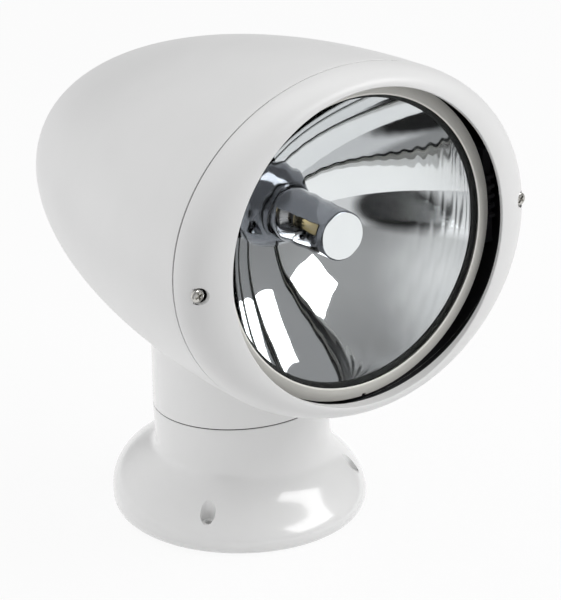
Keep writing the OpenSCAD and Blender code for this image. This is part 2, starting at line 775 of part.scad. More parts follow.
module tilt_bracket() {
  color("dimgray") difference() {
    union() {
      translate([tilt_plate_x, tilt_drive_y - tilt_plate_half, tilt_foot_z])
        cube([tilt_plate_t, 2 * tilt_plate_half, lamp_z + tilt_plate_half - tilt_foot_z]);
      translate([tilt_plate_x - tilt_foot_l, tilt_drive_y - tilt_plate_half, tilt_foot_z])
        cube([tilt_foot_l + eps, 2 * tilt_plate_half, tilt_plate_t]);
    }
    translate([0, tilt_drive_y, lamp_z]) rotate([0, 90, 0]) rod(tilt_shaft_r + shaft_clear, 0, head_half_w);
    at_tilt_screws(0) rod(m3[0] + screw_clear, 0, head_half_w);
    at_tilt_posts() rod(m3[0] + screw_clear, -eps, tilt_plate_t + 2 * eps);
  }
}

module tilt_bracket_screws() {
  color("silver") at_tilt_posts() translate([0, 0, tilt_plate_t]) screw(m3, tilt_plate_t + boss_bite);
}

module tilt_gearbox() {
  color("dimgray") difference() {
    at_tilt_drive() rod(tilt_gearbox_r, 0, tilt_gearbox_l);
    at_tilt_drive() rod(tilt_shaft_r + run_fit, gearbox_end_t, tilt_gearbox_l);
    at_tilt_screws(tilt_plate_x) rod(m3[0] + seat_fit, -boss_bite, boss_bite + eps);
  }
}

module tilt_gearbox_screws() {
  color("silver") at_tilt_screws(tilt_plate_x + tilt_plate_t) screw(m3_low, tilt_plate_t + boss_bite - 1);
}

module tilt_motor() {
  color("silver") at_tilt_drive() mirror([0, 0, 1]) can_motor(tilt_motor_r, tilt_motor_l);
}

module tilt_pinion() {
  start = tilt_gearbox_l + sector_x - sector_t / 2 + pinion_shy - tilt_plate_x;
  width = sector_t - 2 * pinion_shy;
  color("gold") at_tilt_drive() {
    translate([0, 0, start]) rotate([0, 0, -90 + 180 / tilt_pinion_teeth])
      linear_extrude(width) polygon(wheel(tilt_pinion_teeth));
    rod(tilt_shaft_r, gearbox_end_t + 0.4, start + width - gearbox_end_t - 0.4);
  }
}

// Lamp

module lamp_carrier() {
  seat_r = reflector_r + reflector_t + seat_fit;
  seat_t = 3;
  color("gray") difference() {
    union() {
      lamp_turned() polygon([[seat_r, reflector_seat], [seat_r, reflector_seat - seat_t],
        [carrier_in_r, reflector_seat - 2 * seat_t], [carrier_in_r, carrier_back], [ring_r, carrier_back],
        [ring_r, ring_skirt - seat_fit], [carrier_step_r, ring_skirt - seat_fit],
        [carrier_step_r, carrier_top], [carrier_in_r, carrier_top], [carrier_in_r, reflector_seat]]);
      difference() {
        union() {
          both_sides() at_lamp() rotate([0, 90, 0]) rod(trunnion_boss_r, 0, trunnion_boss_out);
          at_sector_feet() rod(sector_boss_r, 0, sector_boss_l);
        }
        at_lamp() rotate([90, 0, 0]) rod(carrier_in_r + 0.5, -ring_r, 2 * ring_r);
      }
    }
    at_lamp() rotate([0, 90, 0]) rod(trunnion_r + seat_fit, -head_half_w, 2 * head_half_w);
    at_sector_feet() rod(m3[0] + seat_fit, -eps, boss_bite);
    at_ring_screws() rod(m2[0] + seat_fit, 0, head_half_w);
  }
}

module trunnion_pins() {
  color("silver") both_sides() at_lamp() rotate([0, 90, 0])
    rod(trunnion_r, carrier_in_r + 0.5, bracket_out - carrier_in_r - 0.5);
}

function dish(r) = reflector_vertex + r * r / (4 * focal);
function dish_back(r) = dish(r) - reflector_t * sqrt(1 + pow(r / (2 * focal), 2));
dish_steps = 14;
dish_radii = [for (i = [0 : dish_steps]) bulb_hole_r + (reflector_r - bulb_hole_r) * i / dish_steps];

module reflector() {
  color("lightgray") lamp_turned() polygon(concat(
    [for (r = dish_radii) [r, dish(r)]],
    [[lens_r, reflector_front], [lens_r, reflector_seat], [reflector_r + reflector_t, reflector_seat]],
    [for (i = [dish_steps : -1 : 1]) [dish_radii[i], dish_back(dish_radii[i])]],
    [[bulb_collar_r, dish_back(bulb_collar_r)], [bulb_collar_r, bulb_seat], [bulb_hole_r, bulb_seat]]));
}

module lens_gasket() {
  color("black") lamp_turned() polygon([[reflector_r + 0.5, reflector_front], [lens_r, reflector_front],
    [lens_r, lens_edge - lens_t], [reflector_r + 0.5, lens_edge - lens_t]]);
}

dome_steps = 10;
// Point of the lens at a step out from its centre, at a depth behind its front face
function dome_point(step, depth) =
  [lens_view_r * step / dome_steps, lens_edge - depth + lens_dome * (1 - pow(step / dome_steps, 2))];
module lens() {
  color("lightcyan", 0.5) lamp_turned() polygon(concat(
    [for (i = [0 : dome_steps]) dome_point(i, 0)],
    [[lens_r, lens_edge], [lens_r, lens_edge - lens_t]],
    [for (i = [dome_steps : -1 : 0]) dome_point(i, lens_t)]));
}

notch = [4, 2.5, 3];
ring_edge = 1;
module retaining_ring() {
  skirt_r = carrier_step_r + seat_fit;
  color("ivory") difference() {
    lamp_turned() polygon([[lens_view_r, lens_edge], [lens_view_r, ring_front - ring_edge],
      [lens_view_r + ring_edge, ring_front], [ring_r - ring_edge, ring_front],
      [ring_r, ring_front - ring_edge], [ring_r, ring_skirt], [skirt_r, ring_skirt],
      [skirt_r, carrier_top], [carrier_in_r, carrier_top], [carrier_in_r, lens_edge]]);
    at_lamp() translate([-notch[0] / 2, -ring_front - eps, -ring_r - eps])
      cube([notch[0], notch[1] + eps, notch[2] + eps]);
    at_ring_screws() rod(m2[1] + seat_fit, 0, head_half_w);
  }
}

module ring_screws() {
  color("silver") at_ring_screws() translate([0, 0, carrier_step_r + 0.3])
    screw(m2, carrier_step_r - carrier_in_r);
}

module bulb_capsule() {
  color("khaki", 0.7) lamp_turned() polygon(concat(
    [[0, nose_end], [capsule_r, nose_end]],
    [for (p = arc(capsule_r, 0, 90, 6)) [p[0], capsule_tip - capsule_r + p[1]]]));
}

module bulb_base() {
  color("silver") lamp_turned() polygon([[0, bulb_tail], [bulb_stem_r, bulb_tail],
    [bulb_stem_r, flange_back], [bulb_flange_r, flange_back], [bulb_flange_r, bulb_seat],
    [bulb_neck_r, bulb_seat], [bulb_neck_r, nose_end - 2], [capsule_r + 1, nose_end], [0, nose_end]]);
}

module bulb_clip() {
  clip_in = bulb_stem_r + seat_fit;
  clip_out = bulb_collar_r - 0.5;
  color("silver") lamp_turned() polygon([[clip_in, flange_back - clip_t], [clip_out, flange_back - clip_t],
    [clip_out, flange_back], [clip_in, flange_back]]);
}

shield_t = 0.8;
shield_back_r = shield_r + 1.5;
shield_back = dish(shield_back_r) + 0.3;
window_from = shield_ahead - 6;
window_to = shield_back + 5;
window_half = 8.5;
module bulb_shield() {
  color("lightgray") difference() {
    lamp_turned() polygon([[0, shield_ahead - shield_t], [shield_r - shield_t, shield_ahead - shield_t],
      [shield_back_r - shield_t, shield_back], [shield_back_r, shield_back], [shield_r, shield_ahead - 0.8],
      [shield_r - 0.8, shield_ahead], [0, shield_ahead]]);
    at_lamp() translate([-2 * shield_r, -window_from, -window_half])
      cube([4 * shield_r, window_from - window_to, 2 * window_half]);
  }
}

module rear_boot() {
  boot_in = bulb_collar_r + seat_fit;
  shoulder = flange_back - clip_t - 2;
  color("black") lamp_turned() polygon([[boot_in, bulb_seat + 1], [boot_in + boot_t, bulb_seat + 1],
    [boot_in + boot_t, shoulder], [bulb_stem_r + 1 + boot_t, boot_end], [0, boot_end], [0, boot_end + boot_t],
    [bulb_stem_r + 1, boot_end + boot_t], [boot_in, shoulder]]);
}

sector_arm_v = 42;
sector_arm_w = 9;
sector_rim = 9;
sector_inner_r = sector_pitch_r - sector_rim;
sector_teeth_each = floor(sector_half * tilt_wheel_teeth / 360);
sector_outline = concat([[-carrier_back, -sector_arm_v]],
  [for (k = [-sector_teeth_each : sector_teeth_each]) each tooth(tilt_wheel_teeth, k)],
  [[-carrier_back, sector_arm_v], [-carrier_back, sector_arm_v - sector_arm_w]],
  arc(sector_inner_r, sector_half - 4, 4 - sector_half, 8),
  [[-carrier_back, sector_arm_w - sector_arm_v]]);
sector_foot_t = 4;
module tilt_sector() {
  color("tan") difference() {
    union() {
      at_lamp() translate([sector_x - sector_t / 2, 0, 0]) rotate([90, 0, 90])
        linear_extrude(sector_t) polygon(sector_outline);
      at_sector_feet() translate([-sector_boss_r, -sector_boss_r - 1, -sector_foot_t])
        cube([2 * sector_boss_r, 2 * sector_boss_r + 2, sector_foot_t]);
    }
    at_sector_feet() rod(m3[0] + screw_clear, -sector_foot_t - eps, sector_foot_t + 2 * eps);
    at_sector_feet() rod(m3[1] + screw_clear, -sector_foot_t - 12, 12);
  }
}

module sector_screws() {
  color("silver") at_sector_feet() translate([0, 0, -sector_foot_t]) mirror([0, 0, 1])
    screw(m3, sector_foot_t + boss_bite - 2);
}

base_pedestal();
base_plate();
base_plate_screws();
deck_gasket();
cable_grommet();
spindle();
spindle_screws();
pan_gear();
pan_gear_screws();
thrust_washer();
spindle_washer();
spindle_nut();
neck_seal();
neck_collar();
turntable();
turntable_screws();
pan_bush();
pan_gearbox();
pan_gearbox_screws();
pan_motor();
pan_pinion();
head_shell();
collar_screws();
bezel_gasket();
front_bezel();
bezel_screws();
trunnion_bracket_left();
trunnion_bracket_right();
trunnion_bushes();
bracket_screws();
tilt_bracket();
tilt_bracket_screws();
tilt_gearbox();
tilt_gearbox_screws();
tilt_motor();
tilt_pinion();
lamp_carrier();
trunnion_pins();
reflector();
lens_gasket();
lens();
retaining_ring();
ring_screws();
bulb_capsule();
bulb_base();
bulb_clip();
bulb_shield();
rear_boot();
tilt_sector();
sector_screws();
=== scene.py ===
"""Looks of the marine searchlight: fine housings, lamp optics, finishes and the studio."""

import json
import logging
import math
from collections.abc import Callable
from dataclasses import dataclass
from enum import Enum

import bmesh
import bpy
import numpy as np
from mathutils import Matrix, Vector

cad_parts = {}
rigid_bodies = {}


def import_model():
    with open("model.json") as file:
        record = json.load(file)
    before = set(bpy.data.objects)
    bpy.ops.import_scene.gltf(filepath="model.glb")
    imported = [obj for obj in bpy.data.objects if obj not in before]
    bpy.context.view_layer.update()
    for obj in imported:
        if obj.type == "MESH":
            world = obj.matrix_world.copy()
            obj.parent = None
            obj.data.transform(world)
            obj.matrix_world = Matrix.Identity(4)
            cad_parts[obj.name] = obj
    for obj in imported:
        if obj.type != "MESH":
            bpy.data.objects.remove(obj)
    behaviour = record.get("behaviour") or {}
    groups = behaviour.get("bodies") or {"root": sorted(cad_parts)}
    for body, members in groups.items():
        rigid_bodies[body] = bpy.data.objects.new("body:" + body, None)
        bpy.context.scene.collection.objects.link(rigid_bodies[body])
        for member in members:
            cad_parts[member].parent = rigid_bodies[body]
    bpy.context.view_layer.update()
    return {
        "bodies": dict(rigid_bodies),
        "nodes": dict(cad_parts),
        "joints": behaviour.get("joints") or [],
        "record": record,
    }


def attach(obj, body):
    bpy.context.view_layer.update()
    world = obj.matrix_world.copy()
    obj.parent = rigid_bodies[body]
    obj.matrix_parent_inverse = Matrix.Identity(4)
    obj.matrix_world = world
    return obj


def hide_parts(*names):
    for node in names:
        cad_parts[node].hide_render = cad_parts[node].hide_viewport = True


LOG = logging.getLogger("searchlight")

# Metres in a millimetre
MM = 0.001
# Points round a large piece, a small one and a screw hole
ROUND = 192
SMALL_ROUND = 64
HOLE_ROUND = 32
# Radius of a profile's end on the axis, in millimetres
AXIS_R = 0.001
# Edges that turn by more than this stay sharp, in degrees
SHARP_DEG = 32.0
# Points nearer than this are joined, in metres
WELD = 0.000002

Pair = tuple[float, float]
Triple = tuple[float, float, float]
Points = np.ndarray
Piece = bpy.types.Object
Socket = bpy.types.NodeSocket


class Slot(str, Enum):
    """Material slots of the record."""

    SATIN_WHITE = "satin_white"
    GLOSS_WHITE = "gloss_white"
    RING_CREAM = "ring_cream"
    LENS_GLASS = "lens_glass"
    MIRROR_COAT = "mirror_coat"
    BULB_GLASS = "bulb_glass"
    SHIELD_METAL = "shield_metal"
    STAINLESS = "stainless"
    SHAFT_STEEL = "shaft_steel"
    PLATE_ALLOY = "plate_alloy"
    BRONZE = "bronze"
    PINION_BRASS = "pinion_brass"
    GEAR_NYLON = "gear_nylon"
    DARK_PLASTIC = "dark_plastic"
    CARRIER_GREY = "carrier_grey"
    SEAL_RUBBER = "seal_rubber"


class Body(str, Enum):
    """Bodies of the frame that the pieces ride on."""

    BASE = "base"
    HEAD = "head"
    LAMP = "lamp"


class NodeSheet:
    """Node tree of a material or a world, with short calls to add nodes."""

    def __init__(self, owner: bpy.types.Material | bpy.types.World, output: str = "OutputMaterial") -> None:
        """Start an empty tree with an output node.

        Args:
            owner: Material or world that the tree belongs to.
            output: Type of the output node without its "ShaderNode" prefix.
        """
        self.owner = owner
        owner.use_nodes = True
        self.tree = owner.node_tree
        self.tree.nodes.clear()
        self.output = self.add(output)

    @classmethod
    def of_material(cls, name: str) -> "NodeSheet":
        """Start the sheet of a new material."""
        return cls(bpy.data.materials.new(name))

    def add(self, kind: str, *sources: Socket, **settings: object) -> bpy.types.Node:
        """Add a node.

        Args:
            kind: Node type without its "ShaderNode" prefix.
            sources: Sockets to join to the node's first inputs, in order.
            settings: Values or sockets for inputs by name (underscores for spaces), or node attributes.

        Returns:
            The new node.
        """
        node = self.tree.nodes.new("ShaderNode" + kind)
        for source, target in zip(sources, node.inputs):
            self.tree.links.new(source, target)
        for key, value in settings.items():
            target = node.inputs.get(key.replace("_", " "))
            if target is None:
                setattr(node, key, value)
            elif isinstance(value, Socket):
                self.tree.links.new(value, target)
            else:
                target.default_value = value
        return node

    def ramp(self, factor: Socket, stops: tuple[float, ...], colours: tuple[Triple, ...]) -> Socket:
        """Add a colour ramp.

        Args:
            factor: Socket that drives the ramp.
            stops: Position of each stop.
            colours: Colour of each stop.

        Returns:
            The ramp's colour socket.
        """
        node = self.add("ValToRGB", factor)
        elements = node.color_ramp.elements
        while len(elements) < len(stops):
            elements.new(0.5)
        for element, position, colour in zip(elements, stops, colours):
            element.position = position
            element.color = (*colour, 1)
        return node.outputs["Color"]

    def spread(self, factor: Socket, low: float, high: float) -> Socket:
        """Map a factor of 0 to 1 to a range and return the mapped socket."""
        return self.add("MapRange", factor, To_Min=low, To_Max=high).outputs["Result"]

    def noise(self, place: Socket, scale: float, detail: float = 3.0) -> Socket:
        """Add noise by cells per unit and octaves, and return its factor socket."""
        return self.add("TexNoise", place, Scale=scale, Detail=detail).outputs["Fac"]

    def relief(self, height: Socket, depth: float, strength: float) -> Socket:
        """Add a bump of a depth in metres, of which a share is used, and return its normal socket."""
        return self.add("Bump", Height=height, Strength=strength, Distance=depth).outputs["Normal"]

    def done(self, shader: bpy.types.Node) -> bpy.types.Material | bpy.types.World:
        """Join the shader to the output and return the tree's owner."""
        self.tree.links.new(shader.outputs[0], self.output.inputs["Surface"])
        return self.owner


@dataclass(frozen=True)
class MouldedFinish:
    """Moulded plastic or rubber with a soft unevenness of tone, gloss and surface."""

    CLOUDS_PER_M = 14.0
    CLOUD_SPAN = (0.35, 0.65)
    GRAIN_DETAIL = 2.0
    BUMP = 0.5
    COAT_ROUGHNESS = 0.06

    name: str
    slot: Slot
    light: Triple
    dark: Triple
    roughness: Pair
    grain_mm: float
    grain_depth_mm: float
    coat: float = 0.0
    specular: float = 0.5

    def material(self) -> bpy.types.Material:
        """Build the material.

        Returns:
            The material.
        """
        sheet = NodeSheet.of_material(self.name)
        place = sheet.add("TexCoord").outputs["Object"]
        cloud = sheet.noise(place, self.CLOUDS_PER_M)
        grain = sheet.noise(place, 1 / MM / self.grain_mm, self.GRAIN_DETAIL)
        return sheet.done(sheet.add(
            "BsdfPrincipled", Specular_IOR_Level=self.specular, Coat_Weight=self.coat,
            Coat_Roughness=self.COAT_ROUGHNESS, Roughness=sheet.spread(cloud, *self.roughness),
            Base_Color=sheet.ramp(cloud, self.CLOUD_SPAN, (self.dark, self.light)),
            Normal=sheet.relief(grain, self.grain_depth_mm * MM, self.BUMP)))


@dataclass(frozen=True)
class MetalFinish:
    """Metal with fine tool marks and an uneven gloss."""

    CLOUDS_PER_M = 60.0
    CLOUD_SPAN = (0.3, 0.7)
    MARK_DETAIL = 4.0
    BUMP = 0.4

    name: str
    slot: Slot
    light: Triple
    dark: Triple
    roughness: Pair
    marks_per_m: Triple
    mark_depth_mm: float = 0.01

    def material(self) -> bpy.types.Material:
        """Build the material.

        Returns:
            The material.
        """
        sheet = NodeSheet.of_material(self.name)
        place = sheet.add("TexCoord").outputs["Object"]
        stretch = sheet.add("Mapping", place, Scale=self.marks_per_m).outputs["Vector"]
        streak = sheet.noise(stretch, 1.0, self.MARK_DETAIL)
        cloud = sheet.noise(place, self.CLOUDS_PER_M)
        return sheet.done(sheet.add(
            "BsdfPrincipled", Metallic=1.0, Roughness=sheet.spread(streak, *self.roughness),
            Base_Color=sheet.ramp(cloud, self.CLOUD_SPAN, (self.dark, self.light)),
            Normal=sheet.relief(streak, self.mark_depth_mm * MM, self.BUMP)))


@dataclass(frozen=True)
class GlassFinish:
    """Clear glass with a faint tint and moulding ripples."""

    CLOUDS_PER_M = 20.0
    CLOUD_SPAN = (0.3, 0.7)
    DETAIL = 1.0
    PALER = 0.015
    BUMP = 0.3

    name: str
    slot: Slot
    tint: Triple
    roughness: float
    ripple_mm: float
    ripple_depth_mm: float
    ior: float = 1.5

    def material(self) -> bpy.types.Material:
        """Build the material.

        Returns:
            The material.
        """
        sheet = NodeSheet.of_material(self.name)
        place = sheet.add("TexCoord").outputs["Object"]
        cloud = sheet.noise(place, self.CLOUDS_PER_M, self.DETAIL)
        ripple = sheet.noise(place, 1 / MM / self.ripple_mm, self.DETAIL)
        pale = tuple(min(1.0, part + self.PALER) for part in self.tint)
        return sheet.done(sheet.add(
            "BsdfPrincipled", Roughness=self.roughness, IOR=self.ior, Transmission_Weight=1.0,
            Base_Color=sheet.ramp(cloud, self.CLOUD_SPAN, (self.tint, pale)),
            Normal=sheet.relief(ripple, self.ripple_depth_mm * MM, self.BUMP)))


class Finishes:
    """All the finishes, each built once."""

    ALL: tuple[MouldedFinish | MetalFinish | GlassFinish, ...] = (
        MouldedFinish("satin white moulding", Slot.SATIN_WHITE, (0.80, 0.80, 0.795), (0.775, 0.775, 0.77),
                      (0.30, 0.38), 0.7, 0.012),
        MouldedFinish("gloss white moulding", Slot.GLOSS_WHITE, (0.86, 0.86, 0.855), (0.84, 0.84, 0.835),
                      (0.16, 0.24), 1.2, 0.008, coat=0.6),
        MouldedFinish("cream satin ring", Slot.RING_CREAM, (0.86, 0.85, 0.80), (0.83, 0.82, 0.77),
                      (0.28, 0.40), 0.6, 0.01),
        MouldedFinish("natural nylon", Slot.GEAR_NYLON, (0.66, 0.62, 0.50), (0.60, 0.56, 0.45),
                      (0.45, 0.6), 0.6, 0.01),
        # Besides the dark parts, this finish is laid on the inside faces of the head shell and bezel as
        # painted shade
        MouldedFinish("dark moulding", Slot.DARK_PLASTIC, (0.05, 0.05, 0.055), (0.035, 0.035, 0.04),
                      (0.4, 0.55), 0.5, 0.02),
        MouldedFinish("grey carrier moulding", Slot.CARRIER_GREY, (0.24, 0.24, 0.22), (0.20, 0.20, 0.185),
                      (0.4, 0.55), 0.6, 0.02),
        MouldedFinish("seal rubber", Slot.SEAL_RUBBER, (0.045, 0.046, 0.045), (0.034, 0.035, 0.034),
                      (0.6, 0.75), 0.4, 0.02, specular=0.3),
        MetalFinish("stainless screws", Slot.STAINLESS, (0.66, 0.65, 0.62), (0.56, 0.55, 0.52),
                    (0.16, 0.3), (900, 900, 900)),
        MetalFinish("ground steel", Slot.SHAFT_STEEL, (0.58, 0.58, 0.59), (0.50, 0.50, 0.51),
                    (0.2, 0.36), (60, 60, 2500)),
        MetalFinish("plate alloy", Slot.PLATE_ALLOY, (0.62, 0.62, 0.63), (0.55, 0.55, 0.56),
                    (0.35, 0.5), (1800, 60, 60)),
        MetalFinish("bearing bronze", Slot.BRONZE, (0.62, 0.45, 0.22), (0.52, 0.37, 0.18),
                    (0.3, 0.42), (60, 60, 2000)),
        MetalFinish("pinion brass", Slot.PINION_BRASS, (0.75, 0.58, 0.26), (0.66, 0.5, 0.22),
                    (0.22, 0.34), (900, 900, 900)),
        MetalFinish("mirror coat", Slot.MIRROR_COAT, (0.85, 0.855, 0.86), (0.825, 0.83, 0.84),
                    (0.02, 0.05), (120, 120, 120), mark_depth_mm=0.004),
        MetalFinish("shield metal", Slot.SHIELD_METAL, (0.26, 0.27, 0.295), (0.21, 0.22, 0.245),
                    (0.08, 0.16), (500, 500, 500), mark_depth_mm=0.004),
        GlassFinish("lens glass", Slot.LENS_GLASS, (0.965, 0.98, 0.98), 0.0, 9.0, 0.01, ior=1.09),
        GlassFinish("gold-tinted bulb glass", Slot.BULB_GLASS, (0.93, 0.76, 0.40), 0.02, 5.0, 0.01),
    )

    def __init__(self) -> None:
        """Build every finish."""
        self.materials = {finish.slot: finish.material() for finish in self.ALL}

    def dress(self, piece: Piece, slot: Slot) -> None:
        """Give a piece its material and name its slot.

        Args:
            piece: Object to dress.
            slot: Finish to use.
        """
        piece.data.materials.clear()
        piece.data.materials.append(self.materials[slot])

    def line(self, piece: Piece, slot: Slot, chosen: Callable[[Vector, Vector], bool]) -> None:
        """Give some faces of a dressed piece a second finish.

        Args:
            piece: Dressed object.
            slot: Second finish.
            chosen: Says from a face's centre and normal whether it takes the second finish.
        """
        piece.data.materials.append(self.materials[slot])
        for face in piece.data.polygons:
            if chosen(face.center, face.normal):
                face.material_index = 1

    def seat(self, piece: Piece, slot: Slot, body: Body, node: str) -> None:
        """Dress a piece, let it ride on a body and let it stand for a CAD node.

        Args:
            piece: Object to seat.
            slot: Finish to use.
            body: Body that carries the piece.
            node: CAD node that the piece stands for.
        """
        self.dress(piece, slot)
        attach(piece, body.value)
        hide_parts(node)


def circle_angles(count: int = ROUND) -> Points:
    """Return evenly spaced angles round a circle, in radians."""
    return np.linspace(0, 2 * np.pi, count, endpoint=False)


def arc(first_deg: float, last_deg: float, count: int) -> Points:
    """Return evenly spaced angles from one to another, in radians."""
    return np.radians(np.linspace(first_deg, last_deg, count))


def fillet(radius: float, count: int = 5) -> list[Pair]:
    """Return how far points on a rounded edge lie from the two faces of its corner."""
    return [(radius * (1 - math.sin(a)), radius * (1 - math.cos(a))) for a in arc(0, 90, count)]


def circle(radius: float, z: float, count: int = ROUND) -> Points:
    """Return points of a circle about the Z axis at a height."""
    turn = circle_angles(count)
    return np.stack([radius * np.cos(turn), radius * np.sin(turn), np.full(count, z)], 1)


def settle(piece: Piece, sharp_deg: float = SHARP_DEG) -> None:
    """Point the faces outward, shade them smooth and keep the sharp edges sharp.

    Args:
        piece: Object to settle.
        sharp_deg: Edges that turn by more than this stay sharp.
    """
    work = bmesh.new()
    work.from_mesh(piece.data)
    bmesh.ops.remove_doubles(work, verts=work.verts, dist=WELD)
    bmesh.ops.recalc_face_normals(work, faces=work.faces)
    limit = math.radians(sharp_deg)
    for face in work.faces:
        face.smooth = True
    for edge in work.edges:
        edge.smooth = edge.calc_face_angle(0.0) < limit
    work.to_mesh(piece.data)
    work.free()


def skin(name: str, rings: list[Points], looped: bool, sharp_deg: float = SHARP_DEG) -> Piece:
    """Skin a stack of rings with a smooth object.

    Args:
        name: Name of the object.
        rings: Rings with the same number of points, in millimetres.
        looped: Join the last ring to the first, and otherwise cap both ends.
        sharp_deg: Edges that turn by more than this stay sharp.

    Returns:
        The new object.
    """
    count = len(rings[0])
    faces: list[tuple[int, ...]] = []
    for i in range(len(rings) if looped else len(rings) - 1):
        low = i * count
        high = (i + 1) % len(rings) * count
        faces += [(low + j, low + (j + 1) % count, high + (j + 1) % count, high + j) for j in range(count)]
    if not looped:
        faces.append(tuple(range(count)))
        faces.append(tuple(range((len(rings) - 1) * count, len(rings) * count)))
    mesh = bpy.data.meshes.new(name)
    mesh.from_pydata([tuple(p) for p in np.concatenate(rings) * MM], [], faces)
    piece = bpy.data.objects.new(name, mesh)
    bpy.context.scene.collection.objects.link(piece)
    settle(piece, sharp_deg)
    return piece


def turned(name: str, profile: list[Pair], looped: bool = True, count: int = ROUND) -> Piece:
    """Turn a profile of radii and heights about the Z axis; unless looped, its ends lie on the axis."""
    return skin(name, [circle(r, z, count) for r, z in profile], looped)


def rod(radius: float, low: float, high: float, count: int = SMALL_ROUND) -> Piece:
    """Make a rod on the Z axis between two heights."""
    return turned("rod", [(AXIS_R, low), (radius, low), (radius, high), (AXIS_R, high)], False, count)


def oblong(low: Pair, high: Pair, z: float) -> Points:
    """Return the four corners of an oblong at a height, in turn."""
    return np.array([(low[0], low[1], z), (high[0], low[1], z), (high[0], high[1], z), (low[0], high[1], z)])


def moved(piece: Piece, matrix: Matrix) -> Piece:
    """Move a piece's points by a matrix in metres and return the piece."""
    piece.data.transform(matrix)
    return piece


def rounded(corners: list[Triple], steps: int = 5) -> list[Pair]:
    """Round the corners of a closed profile.

    Args:
        corners: Two coordinates and a radius for each corner.
        steps: Points on each rounded corner, less one.

    Returns:
        The rounded profile.
    """
    result: list[Pair] = []
    for i, (x, y, radius) in enumerate(corners):
        if radius <= 0:
            result.append((x, y))
            continue
        here = Vector((x, y))
        back = (Vector(corners[i - 1][:2]) - here).normalized()
        ahead = (Vector(corners[(i + 1) % len(corners)][:2]) - here).normalized()
        half = back.angle(ahead) / 2
        centre = here + (back + ahead).normalized() * radius / math.sin(half)
        first = here + back * radius / math.tan(half) - centre
        last = here + ahead * radius / math.tan(half) - centre
        for k in range(steps + 1):
            arm = first.slerp(last, k / steps) * radius
            result.append(tuple(centre + arm))
    return result


def cut(piece: Piece, tools: list[Piece]) -> None:
    """Cut tools out of a piece and remove the tools.

    Args:
        piece: Object to change.
        tools: Closed meshes.
    """
    for tool in tools:
        change = piece.modifiers.new("cut", "BOOLEAN")
        change.object = tool
        change.operation = "DIFFERENCE"
        change.solver = "EXACT"
        bpy.context.view_layer.update()
        result = piece.evaluated_get(bpy.context.evaluated_depsgraph_get())
        shape = bpy.data.meshes.new_from_object(result)
        piece.modifiers.clear()
        piece.data = shape
        bpy.data.objects.remove(tool)
    settle(piece)


@dataclass
class LampFrame:
    """Places shared by the head, the bezel and the lamp, in millimetres."""

    lamp_z: float = 209.0
    seam_front: float = 125.0
    trunnion_back: float = 17.0
    bezel_gasket_t: float = 0.8
    bezel_depth: float = 20.5
    bezel_bore_r: float = 92.3
    # Beyond this radius, inside faces of the shell and bezel that look towards the lamp's axis take a dark
    # finish as painted shade
    painted_shade_r: float = 97.0
    half_w: float = 118.0
    half_h: float = 102.0
    shell_wall: float = 3.5
    bezel_screw_x: float = 110.7
    bezel_screw_seat: float = 12.0

    @property
    def tilt_y(self) -> float:
        """Y of the tilt axis."""
        return self.trunnion_back - self.seam_front

    @property
    def bezel_back_y(self) -> float:
        """Y of the bezel's rear edge."""
        return -self.seam_front - self.bezel_gasket_t

    def in_painted_shade(self, centre: Vector, normal: Vector) -> bool:
        """Say whether a face beyond the radius of the painted shade looks towards the lamp's axis, and so
        takes the dark finish as painted shade.
        """
        arm = Vector((centre.x, 0, centre.z - self.lamp_z * MM))
        return arm.length > self.painted_shade_r * MM and normal.dot(arm) < 0

    def forward(self, x: float, y: float) -> Matrix:
        """Return the matrix of a place at the lamp's height whose Z points forward, in metres."""
        turn = Matrix.Rotation(math.pi / 2, 4, "X")
        return Matrix.Translation((x * MM, y * MM, self.lamp_z * MM)) @ turn


